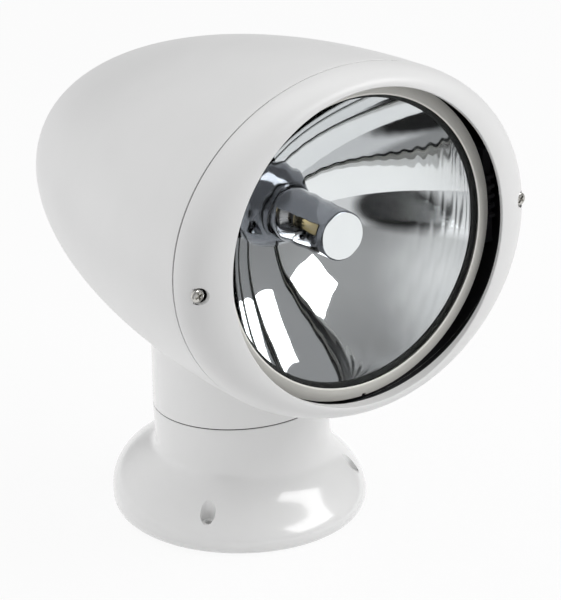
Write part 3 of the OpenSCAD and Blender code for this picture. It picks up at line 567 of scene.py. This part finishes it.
@dataclass
class Pedestal:
    """Moulded pedestal: a round neck that flares into an oval foot, hollow below."""

    finishes: Finishes
    height: float = 73.0
    neck_r: float = 53.5
    bore_r: float = 49.5
    foot_half_w: float = 75.5
    foot_half_l: float = 84.25
    foot_back: float = 8.5
    wide_z: float = 8.0
    toe_top: float = 60.0
    heel_top: float = 46.0
    toe_curve: Pair = (1.55, 5.1)
    heel_curve: Pair = (3.1, 0.95)
    plain_neck: float = 4.0
    under: float = 5.0
    under_points: int = 14
    flare_steps: int = 80
    rim_t: float = 11.0
    hollow_drop: float = 2.0
    hollow_wall: float = 4.5
    hollow_steps: int = 16
    gasket: Triple = (6.95, 10.05, 1.95)
    web_top: float = 59.0
    web_t: float = 5.0
    spigot_r: float = 14.05
    screw_circle_r: float = 65.0
    screw_angles: Triple = (-144.0, -36.0, 90.0)
    hole_r: float = 2.3
    seat_z: float = 17.5
    pocket_r: float = 4.7
    boss_r: float = 8.0
    boss_low: float = -2.0
    pillar_circle_r: float = 38.0
    pillar_angles: Triple = (-90.0, 30.0, 150.0)
    pillar_r: float = 5.0
    pillar_low: float = 6.0
    pilot_r: float = 2.05
    pilot_depth: float = 22.0
    edge: float = 0.25
    cut_past: float = 1.0
    cut_low: float = -5.0
    cut_top: float = 90.0

    def flare(self, z: float, turn: Points) -> Points:
        """Share of the flare's spread that is left at a height.

        Args:
            z: Height.
            turn: Angles round the pan axis.

        Returns:
            The share at each angle.
        """
        heel = (1 + np.sin(turn)) / 2
        bend = self.toe_curve[0] + (self.heel_curve[0] - self.toe_curve[0]) * heel
        lift = self.toe_curve[1] + (self.heel_curve[1] - self.toe_curve[1]) * heel
        top = self.toe_top + (self.heel_top - self.toe_top) * heel
        climb = np.clip((z - self.wide_z) / (top - self.wide_z), 0, 1)
        return (1 - climb ** bend) ** lift

    def ring(self, z: float, inset: float = 0.0, wall: float = 0.0, drop: float = 0.0) -> Points:
        """Section of the foot.

        Args:
            z: Height at which the flare is taken.
            inset: Distance that the section is drawn in at the foot.
            wall: Least distance that it is drawn in, which counts at the neck.
            drop: Distance that the section is lowered.

        Returns:
            Points of the section.
        """
        turn = circle_angles()
        spread = self.flare(z, turn)
        round_r = self.neck_r - np.maximum(wall, inset * spread)
        x = (round_r + (self.foot_half_w - self.neck_r) * spread) * np.cos(turn)
        y = self.foot_back * spread + (round_r + (self.foot_half_l - self.neck_r) * spread) * np.sin(turn)
        return np.stack([x, y, np.full(ROUND, z - drop)], 1)

    def heights(self, steps: int) -> list[float]:
        """Return evenly spaced heights up the flare."""
        return list(np.linspace(self.wide_z, self.toe_top, steps + 1))

    def outside(self) -> Piece:
        """Build the solid outside.

        Returns:
            The outside.
        """
        rings = [self.ring(self.wide_z * (1 - math.sin(a)), self.under * (1 - math.cos(a)))
                 for a in arc(90, 0, self.under_points)[:-1]]
        rings += [self.ring(z) for z in self.heights(self.flare_steps)]
        rings.append(circle(self.neck_r, self.toe_top + self.plain_neck))
        rings += [circle(self.neck_r - into, self.height - down) for down, into in fillet(self.edge)]
        return skin("pedestal_skin", rings, False)

    def hollow(self) -> Piece:
        """Build the hollow under the web.

        Returns:
            The hollow.
        """
        inset = self.under + self.rim_t
        rings = [self.ring(0, inset, drop=self.cut_past)]
        rings += [self.ring(z, inset, self.hollow_wall, self.hollow_drop)
                  for z in self.heights(self.hollow_steps)[:-2:2]]
        web_low = self.web_top - self.web_t
        rings += [circle(self.neck_r - self.hollow_wall, z) for z in (web_low - self.hollow_drop, web_low)]
        return skin("hollow", rings, False)

    def groove(self) -> Piece:
        """Build the groove of the deck gasket.

        Returns:
            The groove.
        """
        out, into, depth = self.gasket
        profile = ((out, -self.cut_past), (out, depth), (into, depth), (into, -self.cut_past))
        return skin("groove", [self.ring(0, self.under + inset, drop=-z) for inset, z in profile], True)

    def rods(self, radius: float, low: float, high: float, circle_r: float = 0.0,
             angles: tuple[float, ...] = (0.0,)) -> list[Piece]:
        """Upright rods round the pan axis.

        Args:
            radius: Radius of the rods.
            low: Height of their lower ends.
            high: Height of their upper ends.
            circle_r: Distance from the pan axis.
            angles: Angles in degrees.

        Returns:
            The rods.
        """
        rods = []
        for angle in np.radians(angles):
            arm = Vector((math.cos(angle), math.sin(angle), 0)) * circle_r * MM
            rods.append(moved(rod(radius, low, high), Matrix.Translation(arm)))
        return rods

    def build(self) -> list[Piece]:
        """Build the pedestal.

        Returns:
            The pedestal, in a list.
        """
        piece = self.outside()
        hollow = self.hollow()
        screws = (self.screw_circle_r, self.screw_angles)
        pillars = (self.pillar_circle_r, self.pillar_angles)
        kept = self.rods(self.boss_r, self.boss_low, self.heel_top, *screws)
        kept += self.rods(self.pillar_r, self.pillar_low, self.height, *pillars)
        cut(hollow, kept)
        tools = [hollow, self.groove()]
        tools += self.rods(self.bore_r, self.web_top, self.cut_top)
        tools += self.rods(self.spigot_r, 0, self.cut_top)
        tools += self.rods(self.hole_r, self.cut_low, self.cut_top, *screws)
        tools += self.rods(self.pocket_r, self.seat_z, self.cut_top, *screws)
        tools += self.rods(self.pilot_r, 0, self.pilot_depth, *pillars)
        cut(piece, tools)
        self.finishes.seat(piece, Slot.GLOSS_WHITE, Body.BASE, "base_pedestal")
        return [piece]


@dataclass
class NeckCollar:
    """Turned collar between the pedestal and the head."""

    finishes: Finishes
    low: float = 73.7
    taper_h: float = 45.0
    top: float = 136.0
    low_r: float = 53.5
    top_r: float = 51.6
    wall: float = 3.5
    ledge_r: float = 44.5
    ledge_z: float = 80.0
    ledge_t: float = 4.0
    flange_r: float = 40.0
    flange_t: float = 4.0
    low_edge: float = 0.25
    top_edge: float = 0.4

    def build(self) -> list[Piece]:
        """Build the collar.

        Returns:
            The collar, in a list.
        """
        bore = self.top_r - self.wall
        low_bore = self.low_r - self.wall
        under = self.top - self.flange_t
        ledge_top = self.ledge_z + self.ledge_t
        corners = [(low_bore, self.low, 0), (self.low_r, self.low, self.low_edge),
                   (self.top_r, self.low + self.taper_h, 0), (self.top_r, self.top, self.top_edge),
                   (self.flange_r, self.top, 0), (self.flange_r, under, 0), (bore, under, 0),
                   (bore, ledge_top + self.ledge_t, 0), (self.ledge_r, ledge_top, 0),
                   (self.ledge_r, self.ledge_z, 0), (low_bore, self.ledge_z, 0)]
        piece = turned("neck_collar_skin", rounded(corners))
        self.finishes.seat(piece, Slot.GLOSS_WHITE, Body.HEAD, "neck_collar")
        return [piece]


@dataclass
class HeadShell:
    """Egg-shaped shell with the socket for the neck, with painted shade on its inside faces."""

    finishes: Finishes
    lamp: LampFrame
    tail_back: float = 160.0
    tail_drop: float = 4.0
    tail_turn_deg: float = 89.6
    sections: int = 72
    socket_r: float = 52.8
    socket_top: float = 136.0
    socket_wall: float = 4.0
    hole_r: float = 36.0
    edge: float = 0.2
    cut_past: float = 5.0

    def ring(self, turn: float, inset: float, shift: float = 0.0) -> Points:
        """Section of the egg.

        Args:
            turn: 0 at the front edge and a quarter turn at the tail, in radians.
            inset: Distance that the egg is drawn in.
            shift: Distance that the section is moved back.

        Returns:
            Points of the section.
        """
        around = circle_angles()
        length = self.tail_back + self.lamp.seam_front - inset
        x = (self.lamp.half_w - inset) * math.cos(turn) * np.cos(around)
        y = shift - self.lamp.seam_front + length * math.sin(turn)
        z = self.lamp.lamp_z - self.tail_drop * math.sin(turn)
        z = z + (self.lamp.half_h - inset) * math.cos(turn) * np.sin(around)
        return np.stack([x, np.full(ROUND, y), z], 1)

    def build(self) -> list[Piece]:
        """Build the shell.

        Returns:
            The shell, in a list.
        """
        turns = arc(0, self.tail_turn_deg, self.sections)
        edge = [self.ring(0, inset, shift) for inset, shift in fillet(self.edge)]
        outer = skin("head_shell_skin", edge + [self.ring(t, 0) for t in turns[1:]], False)
        wall = self.lamp.shell_wall
        mouth = self.ring(0, wall, -self.cut_past)
        inner = skin("hollow", [mouth] + [self.ring(t, wall) for t in turns], False)
        cut(inner, [rod(self.socket_r + self.socket_wall, 0, self.socket_top + self.socket_wall, ROUND)])
        cut(outer, [inner, rod(self.socket_r, 0, self.socket_top, ROUND),
                    rod(self.hole_r, 0, self.lamp.lamp_z, ROUND)])
        self.finishes.seat(outer, Slot.SATIN_WHITE, Body.HEAD, "head_shell")
        # The dark finish on the inside faces is painted shade
        self.finishes.line(outer, Slot.DARK_PLASTIC, self.lamp.in_painted_shade)
        return [outer]


@dataclass
class FrontBezel:
    """Bezel that turns from the oval seam into a round lip, with two screw pockets and painted shade on its
    inside faces.
    """

    finishes: Finishes
    lamp: LampFrame
    lip_land: float = 0.7
    lip_flat: float = 0.1
    lip_points: int = 6
    bore_depth: float = 2.0
    bore_rise: float = 5.5
    bore_rise_power: int = 4
    bore_step: float = 0.5
    outer_points: int = 40
    hollow_points: int = 12
    pocket_r: float = 4.9
    hole_r: float = 2.3
    edge: float = 0.2
    seam_open: float = 0.35
    cut_back: float = -3.0
    cut_front: float = 40.0

    def ring(self, turn: float, inset: float, end_r: float, depth: float, shift: float = 0.0,
             rise: float = 0.0) -> Points:
        """Section of the bezel.

        Args:
            turn: 0 at the seam and a quarter turn at the lip, in radians.
            inset: Distance that the seam's oval is drawn in.
            end_r: Radius of the round end.
            depth: Depth from the seam to the round end.
            shift: Distance that the section is moved forward.
            rise: Distance by which the depth is less at the top and bottom.

        Returns:
            Points of the section.
        """
        around = circle_angles()
        w = end_r + (self.lamp.half_w - inset - end_r) * math.cos(turn)
        h = end_r + (self.lamp.half_h - inset - end_r) * math.cos(turn)
        reach = depth - rise * np.sin(around) ** self.bore_rise_power
        y = self.lamp.bezel_back_y - shift - reach * math.sin(turn)
        return np.stack([w * np.cos(around), y, self.lamp.lamp_z + h * np.sin(around)], 1)

    def circle(self, radius: float, y: float) -> Points:
        """Return points of a circle about the lamp's axis at a depth."""
        across, up, _ = circle(radius, 0).T
        return np.stack([across, np.full(ROUND, y), self.lamp.lamp_z + up], 1)

    def rings(self) -> list[Points]:
        """Sections of the bezel.

        Returns:
            The sections over the outside, through the bore and back along the hollow.
        """
        depth = self.lamp.bezel_depth
        bore_r = self.lamp.bezel_bore_r
        lip_y = self.lamp.bezel_back_y - depth
        lip_r = bore_r + self.lip_land
        rings = [self.ring(0, inset, lip_r, depth, self.seam_open + shift)
                 for inset, shift in fillet(self.edge)]
        rings += [self.ring(t, 0, lip_r, depth) for t in arc(0, 90, self.outer_points)[1:]]
        rings += [self.circle(bore_r + out, lip_y + back)
                  for out, back in fillet(self.lip_land - self.lip_flat, self.lip_points)]
        hollow_r = bore_r + self.bore_step
        hollow_depth = depth - self.bore_depth
        rings.append(self.ring(math.pi / 2, 0, bore_r, hollow_depth, rise=self.bore_rise))
        rings += [self.ring(t, self.lamp.shell_wall, hollow_r, hollow_depth, rise=self.bore_rise)
                  for t in arc(90, 0, self.hollow_points)]
        return rings

    def build(self) -> list[Piece]:
        """Build the bezel.

        Returns:
            The bezel, in a list.
        """
        piece = skin("front_bezel_skin", self.rings(), True)
        tools = []
        for side in (-1, 1):
            place = self.lamp.forward(side * self.lamp.bezel_screw_x, self.lamp.bezel_back_y)
            for radius, low in ((self.pocket_r, self.lamp.bezel_screw_seat), (self.hole_r, self.cut_back)):
                tools.append(moved(rod(radius, low, self.cut_front), place))
        cut(piece, tools)
        self.finishes.seat(piece, Slot.SATIN_WHITE, Body.HEAD, "front_bezel")
        # The dark finish on the inside faces is painted shade
        self.finishes.line(piece, Slot.DARK_PLASTIC, self.lamp.in_painted_shade)
        return [piece]


@dataclass
class BezelScrews:
    """Pan-head screws with cross recesses, one in each pocket of the bezel."""

    finishes: Finishes
    lamp: LampFrame
    shank_r: float = 2.0
    tip_taper: float = 0.6
    tip_h: float = 1.0
    head_r: float = 3.85
    head_h: float = 2.4
    head_edge: float = 0.25
    brim: float = 0.42
    dome_power: float = 0.7
    dome_end_deg: float = 86.0
    dome_points: int = 14
    length: float = 24.8
    cross: Pair = (0.56, 0.15)
    cross_foot: Pair = (0.7, 0.75)
    cross_mouth: Pair = (1.25, 1.2)
    cross_low: float = 0.2
    cross_past: float = 0.4
    twist_deg: Pair = (18.0, 52.0)

    def slit(self, z: float, share: Pair) -> Points:
        """Return the corners of one arm of the cross at a height, scaled by two shares."""
        x, y = (self.head_r * part * scale for part, scale in zip(self.cross, share))
        return oblong((-x, -y), (x, y), z)

    def one(self, place: Matrix, twist: float) -> Piece:
        """Build one screw.

        Args:
            place: Matrix of the seat, with Z out of the head.
            twist: Turn of the cross, in radians.

        Returns:
            The screw.
        """
        dome = [(self.head_r * math.cos(a) ** self.dome_power,
                 self.head_h * (self.brim + (1 - self.brim) * math.sin(a)))
                for a in arc(0, self.dome_end_deg, self.dome_points)]
        profile = [(AXIS_R, -self.length), (self.shank_r - self.tip_taper, -self.length),
                   (self.shank_r, self.tip_h - self.length), (self.shank_r, 0),
                   (self.head_r - self.head_edge, 0), (self.head_r, self.head_edge), *dome,
                   (AXIS_R, self.head_h)]
        screw = turned("bezel_screw", profile, False, SMALL_ROUND)
        slits = [self.slit(self.head_h * self.cross_low, self.cross_foot),
                 self.slit(self.head_h + self.cross_past, self.cross_mouth)]
        cut(screw, [moved(skin("cross", slits, False), Matrix.Rotation(turn + twist, 4, "Z"))
                    for turn in (0.0, math.pi / 2)])
        return moved(screw, place)

    def build(self) -> list[Piece]:
        """Build both screws.

        Returns:
            The screws.
        """
        seat = self.lamp.bezel_back_y - self.lamp.bezel_screw_seat
        pieces = []
        for side, twist in zip((-1, 1), self.twist_deg):
            screw = self.one(self.lamp.forward(side * self.lamp.bezel_screw_x, seat), math.radians(twist))
            self.finishes.dress(screw, Slot.STAINLESS)
            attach(screw, Body.HEAD.value)
            pieces.append(screw)
        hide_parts("bezel_screws")
        return pieces


@dataclass
class LampUnit:
    """Lens, reflector, gasket and ring; distances are ahead of the tilt axis."""

    finishes: Finishes
    lamp: LampFrame
    view_r: float = 85.0
    ring_in: float = 85.0
    ring_crest: float = 25.6
    crest_in: float = 0.9
    crest_edge: float = 0.5
    flange_r: float = 93.5
    flange_front: float = 23.2
    flange_t: float = 1.0
    flange_edge: float = 0.4
    ring_r: float = 90.0
    ring_edge: float = 0.3
    ring_corner_steps: int = 8
    lens_edge: float = 25.2
    lens_t: float = 4.0
    lens_dome: float = 3.5
    lens_r: float = 86.5
    lens_columns: int = 560
    lens_rows: int = 36
    lens_end: float = 0.99999
    lens_sharp_deg: float = 50.0
    lens_clear: float = 0.02
    flute_pitch: float = 9.4
    flute_depth: float = 0.2
    flute_margin: float = 3.0
    flute_fade: float = 4.0
    focal: float = 28.0
    reflector_r: float = 83.5
    reflector_front: float = 19.7
    reflector_t: float = 1.5
    reflector_points: int = 60
    gasket_in: float = 83.0
    gasket_lip_t: float = 0.7
    gasket_lip_back: float = 1.0
    gasket_lap: float = 0.5
    gasket_clear: float = 0.01
    bulb_hole_r: float = 12.0
    collar_r: float = 16.5
    carrier_in_r: float = 86.9
    skirt_r: float = 88.55
    carrier_top: float = 22.5
    skirt_end: float = 16.0
    screw_hole_r: float = 2.25
    screw_angles: tuple[float, ...] = (45.0, 135.0, 225.0, 315.0)
    screw_cut: Pair = (60.0, 100.0)
    notch: Pair = (2.6, 1.5)
    notch_past: float = 2.0
    notch_under: float = 1.0

    @property
    def vertex(self) -> float:
        """Distance of the reflector's vertex."""
        return self.reflector_front - self.reflector_r ** 2 / (4 * self.focal)

    def dish(self, radius: float) -> float:
        """Return the distance of the mirror face at a radius."""
        return self.vertex + radius ** 2 / (4 * self.focal)

    def fit(self, piece: Piece, slot: Slot, node: str) -> Piece:
        """Move a piece from lamp space to the frame, seat it for its CAD node and return it."""
        self.finishes.seat(moved(piece, self.lamp.forward(0, self.lamp.tilt_y)), slot, Body.LAMP, node)
        return piece

    def reflector(self) -> Piece:
        """Build the mirror dish with its rim and bulb collar.

        Returns:
            The reflector.
        """
        radii = np.linspace(self.bulb_hole_r, self.reflector_r, self.reflector_points)
        front = [(r, self.dish(r)) for r in radii]
        seat = self.reflector_front - self.reflector_t
        back = [(r, self.dish(r) - self.reflector_t * math.hypot(1, r / (2 * self.focal)))
                for r in radii if r > self.collar_r]
        collar = self.vertex - self.reflector_t
        profile = front + [(self.lens_r, self.reflector_front), (self.lens_r, seat),
                           (self.reflector_r + self.reflector_t, seat)] + back[::-1]
        profile += [(self.collar_r, back[0][1]), (self.collar_r, collar), (self.bulb_hole_r, collar)]
        return self.fit(turned("reflector_skin", profile), Slot.MIRROR_COAT, "reflector")

    def lens_strip(self, x: float) -> Points:
        """Upright strip round the lens.

        Args:
            x: Distance of the strip from the middle.

        Returns:
            Points up the front face and down the back face.
        """
        up = np.sqrt(self.lens_r ** 2 - x ** 2) * np.linspace(-1, 1, self.lens_rows + 1)
        radius = np.hypot(x, up)
        dome = self.lens_dome * np.clip(1 - (radius / self.view_r) ** 2, 0, None)
        fade = np.clip((self.view_r - self.flute_margin - radius) / self.flute_fade, 0, 1)
        wave = self.flute_depth * fade * (0.5 - 0.5 * math.cos(2 * math.pi * x / self.flute_pitch))
        aside = np.full(self.lens_rows + 1, x)
        front = np.stack([aside, up, self.lens_edge + dome], 1)
        back = np.stack([aside, up, self.lens_edge - self.lens_t + dome + wave], 1)
        return np.concatenate([front, back[::-1]])

    def lens(self) -> Piece:
        """Build the domed lens with upright flutes on its inner face.

        Returns:
            The lens.
        """
        across = self.lens_r * np.sin(np.linspace(-np.pi / 2, np.pi / 2, self.lens_columns + 1))
        across[0] = -self.lens_r * self.lens_end
        across[-1] = self.lens_r * self.lens_end
        piece = skin("lens_skin", [self.lens_strip(x) for x in across], False, self.lens_sharp_deg)
        return self.fit(piece, Slot.LENS_GLASS, "lens")

    def gasket(self) -> Piece:
        """Build the lens gasket with the dark lip that frames the lens.

        Returns:
            The gasket.
        """
        back = self.lens_edge - self.lens_t
        lip = back - self.gasket_lip_t
        face = back - self.gasket_clear
        profile = [(self.gasket_in, lip), (self.reflector_r - self.gasket_lip_back, lip),
                   (self.reflector_r + self.gasket_lap, self.reflector_front),
                   (self.lens_r, self.reflector_front), (self.lens_r, face), (self.gasket_in, face)]
        return self.fit(turned("lens_gasket_skin", profile), Slot.SEAL_RUBBER, "lens_gasket")

    def ring(self) -> Piece:
        """Build the retaining ring with its sloping flange, screw holes and notch.

        Returns:
            The ring.
        """
        under = self.flange_front - self.flange_t
        on_lens = self.lens_edge + self.lens_clear
        corners = [(self.ring_in, on_lens, 0),
                   (self.ring_in + self.crest_in, self.ring_crest, self.crest_edge),
                   (self.flange_r, self.flange_front, self.flange_edge),
                   (self.flange_r, under, self.ring_edge), (self.ring_r, under, 0),
                   (self.ring_r, self.skirt_end, self.ring_edge), (self.skirt_r, self.skirt_end, 0),
                   (self.skirt_r, self.carrier_top, 0), (self.carrier_in_r, self.carrier_top, 0),
                   (self.carrier_in_r, on_lens, 0)]
        piece = turned("ring_skin", rounded(corners, self.ring_corner_steps))
        wide, high = self.notch
        span = ((-wide / 2, -self.flange_r - self.notch_past), (wide / 2, high - self.flange_r))
        ends = (under - self.notch_under, self.ring_crest)
        tools = [skin("notch", [oblong(*span, z) for z in ends], False)]
        lift = Matrix.Translation((0, 0, (self.carrier_top + self.skirt_end) / 2 * MM))
        for angle in self.screw_angles:
            turn = Matrix.Rotation(math.radians(angle), 4, "Z") @ Matrix.Rotation(math.pi / 2, 4, "Y")
            tools.append(moved(rod(self.screw_hole_r, *self.screw_cut, HOLE_ROUND), lift @ turn))
        cut(piece, tools)
        return self.fit(piece, Slot.RING_CREAM, "retaining_ring")

    def build(self) -> list[Piece]:
        """Build the lamp's pieces and return them."""
        return [self.reflector(), self.gasket(), self.lens(), self.ring()]


@dataclass
class CarriedNodes:
    """CAD nodes that stay as they are, with soft edges and finishes."""

    finishes: Finishes
    edge: float = 0.25
    edge_segments: int = 2
    edge_limit_deg: float = 40.0
    weld: float = 0.01
    front_normal_y: float = -0.9

    def faces_front(self, _centre: Vector, normal: Vector) -> bool:
        """Say whether a face looks forward."""
        return normal.y < self.front_normal_y

    def build(self, frame: dict) -> list[Piece]:
        """Dress every node and soften the edges of those that are still shown.

        Args:
            frame: What the frame's load returned.

        Returns:
            The nodes that are still shown.
        """
        slots = {entry["node"]: Slot(entry["material_slot"]) for entry in frame["record"]["subparts"]}
        for name, node in frame["nodes"].items():
            self.finishes.dress(node, slots[name])
        shown = [node for node in frame["nodes"].values() if not node.hide_render]
        for node in shown:
            weld = node.modifiers.new("weld", "WELD")
            weld.merge_threshold = self.weld * MM
            soft = node.modifiers.new("soft edges", "BEVEL")
            soft.width = self.edge * MM
            soft.segments = self.edge_segments
            soft.limit_method = "ANGLE"
            soft.angle_limit = math.radians(self.edge_limit_deg)
            soft.harden_normals = True
        self.finishes.line(frame["nodes"]["bulb_shield"], Slot.MIRROR_COAT, self.faces_front)
        return shown


@dataclass(frozen=True)
class Softbox:
    """Soft rectangular lamp; its place and size are in metres and its power in watts."""

    name: str
    place: Triple
    size: Pair
    power: float

    def build(self, target: Triple) -> None:
        """Add the lamp.

        Args:
            target: Place that the lamp faces.
        """
        data = bpy.data.lights.new(self.name, "AREA")
        data.shape = "RECTANGLE"
        data.size, data.size_y = self.size
        data.energy = self.power
        lamp = bpy.data.objects.new(self.name, data)
        bpy.context.scene.collection.objects.link(lamp)
        aim = Vector(target) - Vector(self.place)
        lamp.matrix_world = Matrix.Translation(self.place) @ aim.to_track_quat("-Z", "Y").to_matrix().to_4x4()


@dataclass(frozen=True)
class Lobe:
    """Part of the room about a direction: its tone runs from outer to inner over a span of the cosine."""

    toward: Triple
    span: Pair
    outer: float
    inner: float

    def tone(self, sheet: NodeSheet, place: Socket) -> Socket:
        """Add the lobe's nodes.

        Args:
            sheet: Node tree of the world.
            place: Direction socket.

        Returns:
            The tone socket.
        """
        aim = sheet.add("VectorMath", place, operation="DOT_PRODUCT")
        aim.inputs[1].default_value = Vector(self.toward).normalized()
        low, high = self.span
        fade = sheet.add("MapRange", aim.outputs["Value"], interpolation_type="SMOOTHSTEP", From_Min=low,
                         From_Max=high, To_Min=self.outer, To_Max=self.inner)
        return fade.outputs["Result"]


@dataclass
class Studio:
    """Camera at the photograph's angle, pale table, soft light and a plain room; sizes are in metres."""

    eye: Triple = (-0.8956, -1.4180, 0.8039)
    ahead: Triple = (0.5088, 0.7767, -0.3714)
    up: Triple = (0.2535, 0.2771, 0.9268)
    lens_mm: float = 179.96
    sensor_mm: float = 36.0
    far: float = 50.0
    table_front: Pair = (0.28, -0.06)
    table_back: Pair = (0.5, 0.56)
    table_r: float = 0.6
    table_drop: float = 0.0005
    table_tone: float = 0.92
    table_roughness: float = 0.7
    table_white: float = 0.9
    target: Triple = (0, -0.03, 0.15)
    softboxes: tuple[Softbox, ...] = (
        Softbox("front softbox", (0.8, -1.09, 1.22), (1.3, 0.72), 15),
        Softbox("top softbox", (0.1, 0.5, 2.2), (1.6, 1.6), 6),
    )
    room_heights: tuple[float, ...] = (0.0, 0.48, 0.53, 0.60, 0.72, 0.88, 1.0)
    room_tones: tuple[float, ...] = (0.70, 0.70, 0.32, 0.33, 0.37, 0.36, 0.30)
    room_blue: float = 1.01
    dim_side: Lobe = Lobe((-0.761, -0.595, -0.259), (0.92, 0.975), 1.0, 0.02)
    glow_side: Lobe = Lobe((-0.8, 0.42, 0.42), (0.25, 0.95), 0.0, 0.62)

    def camera(self) -> None:
        """Add the camera."""
        data = bpy.data.cameras.new("camera")
        data.lens = self.lens_mm
        data.sensor_width = self.sensor_mm
        data.clip_end = self.far
        camera = bpy.data.objects.new("camera", data)
        bpy.context.scene.collection.objects.link(camera)
        back = -Vector(self.ahead).normalized()
        right = Vector(self.up).cross(back).normalized()
        up = back.cross(right)
        turn = Matrix((right, up, back)).transposed().to_4x4()
        camera.matrix_world = Matrix.Translation(self.eye) @ turn
        bpy.context.scene.camera = camera

    def table_top(self) -> bpy.types.Material:
        """Build the table's material, white to the camera and in reflections with a shadow.

        Returns:
            The material.
        """
        sheet = NodeSheet.of_material("pale floor")
        tone = self.table_tone
        matt = sheet.add("BsdfPrincipled", Roughness=self.table_roughness, Base_Color=(tone, tone, tone, 1))
        glow = sheet.add("Emission", Strength=1.0)
        path = sheet.add("LightPath")
        seen = path.outputs["Is Camera Ray"]
        for kind in ("Is Glossy Ray", "Is Transmission Ray"):
            seen = sheet.add("Math", seen, path.outputs[kind], operation="MAXIMUM").outputs[0]
        share = sheet.spread(seen, 0.0, self.table_white)
        return sheet.done(sheet.add("MixShader", share, matt.outputs[0], glow.outputs[0]))

    def floor(self) -> None:
        """Add the pale table top, round at both ends."""
        turn = circle_angles()
        edge = np.stack([np.cos(turn), np.sin(turn)], 1)
        front = np.array(self.table_front)
        back = np.array(self.table_back)
        flat = np.where((edge @ (back - front))[:, None] > 0, back, front) + self.table_r * edge
        points = np.column_stack([flat, np.zeros(ROUND)])
        mesh = bpy.data.meshes.new("floor")
        mesh.from_pydata([tuple(p) for p in points], [], [tuple(range(ROUND))])
        floor = bpy.data.objects.new("floor", mesh)
        bpy.context.scene.collection.objects.link(floor)
        floor.data.materials.append(self.table_top())
        floor.location.z = -self.table_drop

    def surround(self) -> None:
        """Set the world: a room that is pale below and greyer above, with a dim side and a bright side."""
        sheet = NodeSheet(bpy.data.worlds.new("studio"), "OutputWorld")
        place = sheet.add("TexCoord").outputs["Generated"]
        height = sheet.add("SeparateXYZ", place).outputs["Z"]
        rise = sheet.add("MapRange", height, From_Min=-1.0).outputs["Result"]
        tones = tuple((tone, tone, tone * self.room_blue) for tone in self.room_tones)
        walls = sheet.ramp(rise, self.room_heights, tones)
        lit = sheet.add("VectorMath", walls, self.glow_side.tone(sheet, place), operation="ADD")
        room = sheet.add("Background", lit.outputs[0], Strength=self.dim_side.tone(sheet, place))
        bpy.context.scene.world = sheet.done(room)

    def build(self) -> None:
        """Set up the studio."""
        bpy.context.scene.view_settings.view_transform = "Standard"
        self.camera()
        self.floor()
        for softbox in self.softboxes:
            softbox.build(self.target)
        self.surround()


def main() -> None:
    """Build the searchlight's looks in order."""
    logging.basicConfig(level=logging.INFO, format="%(name)s: %(message)s")
    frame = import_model()
    finishes = Finishes()
    lamp = LampFrame()
    for maker in (Pedestal(finishes), NeckCollar(finishes), HeadShell(finishes, lamp),
                  FrontBezel(finishes, lamp), BezelScrews(finishes, lamp), LampUnit(finishes, lamp)):
        for piece in maker.build():
            LOG.info("built %s", piece.name)
    for node in CarriedNodes(finishes).build(frame):
        LOG.info("dressed %s", node.name)
    Studio().build()
    LOG.info("set up the studio")


if __name__ == "__main__":
    main()
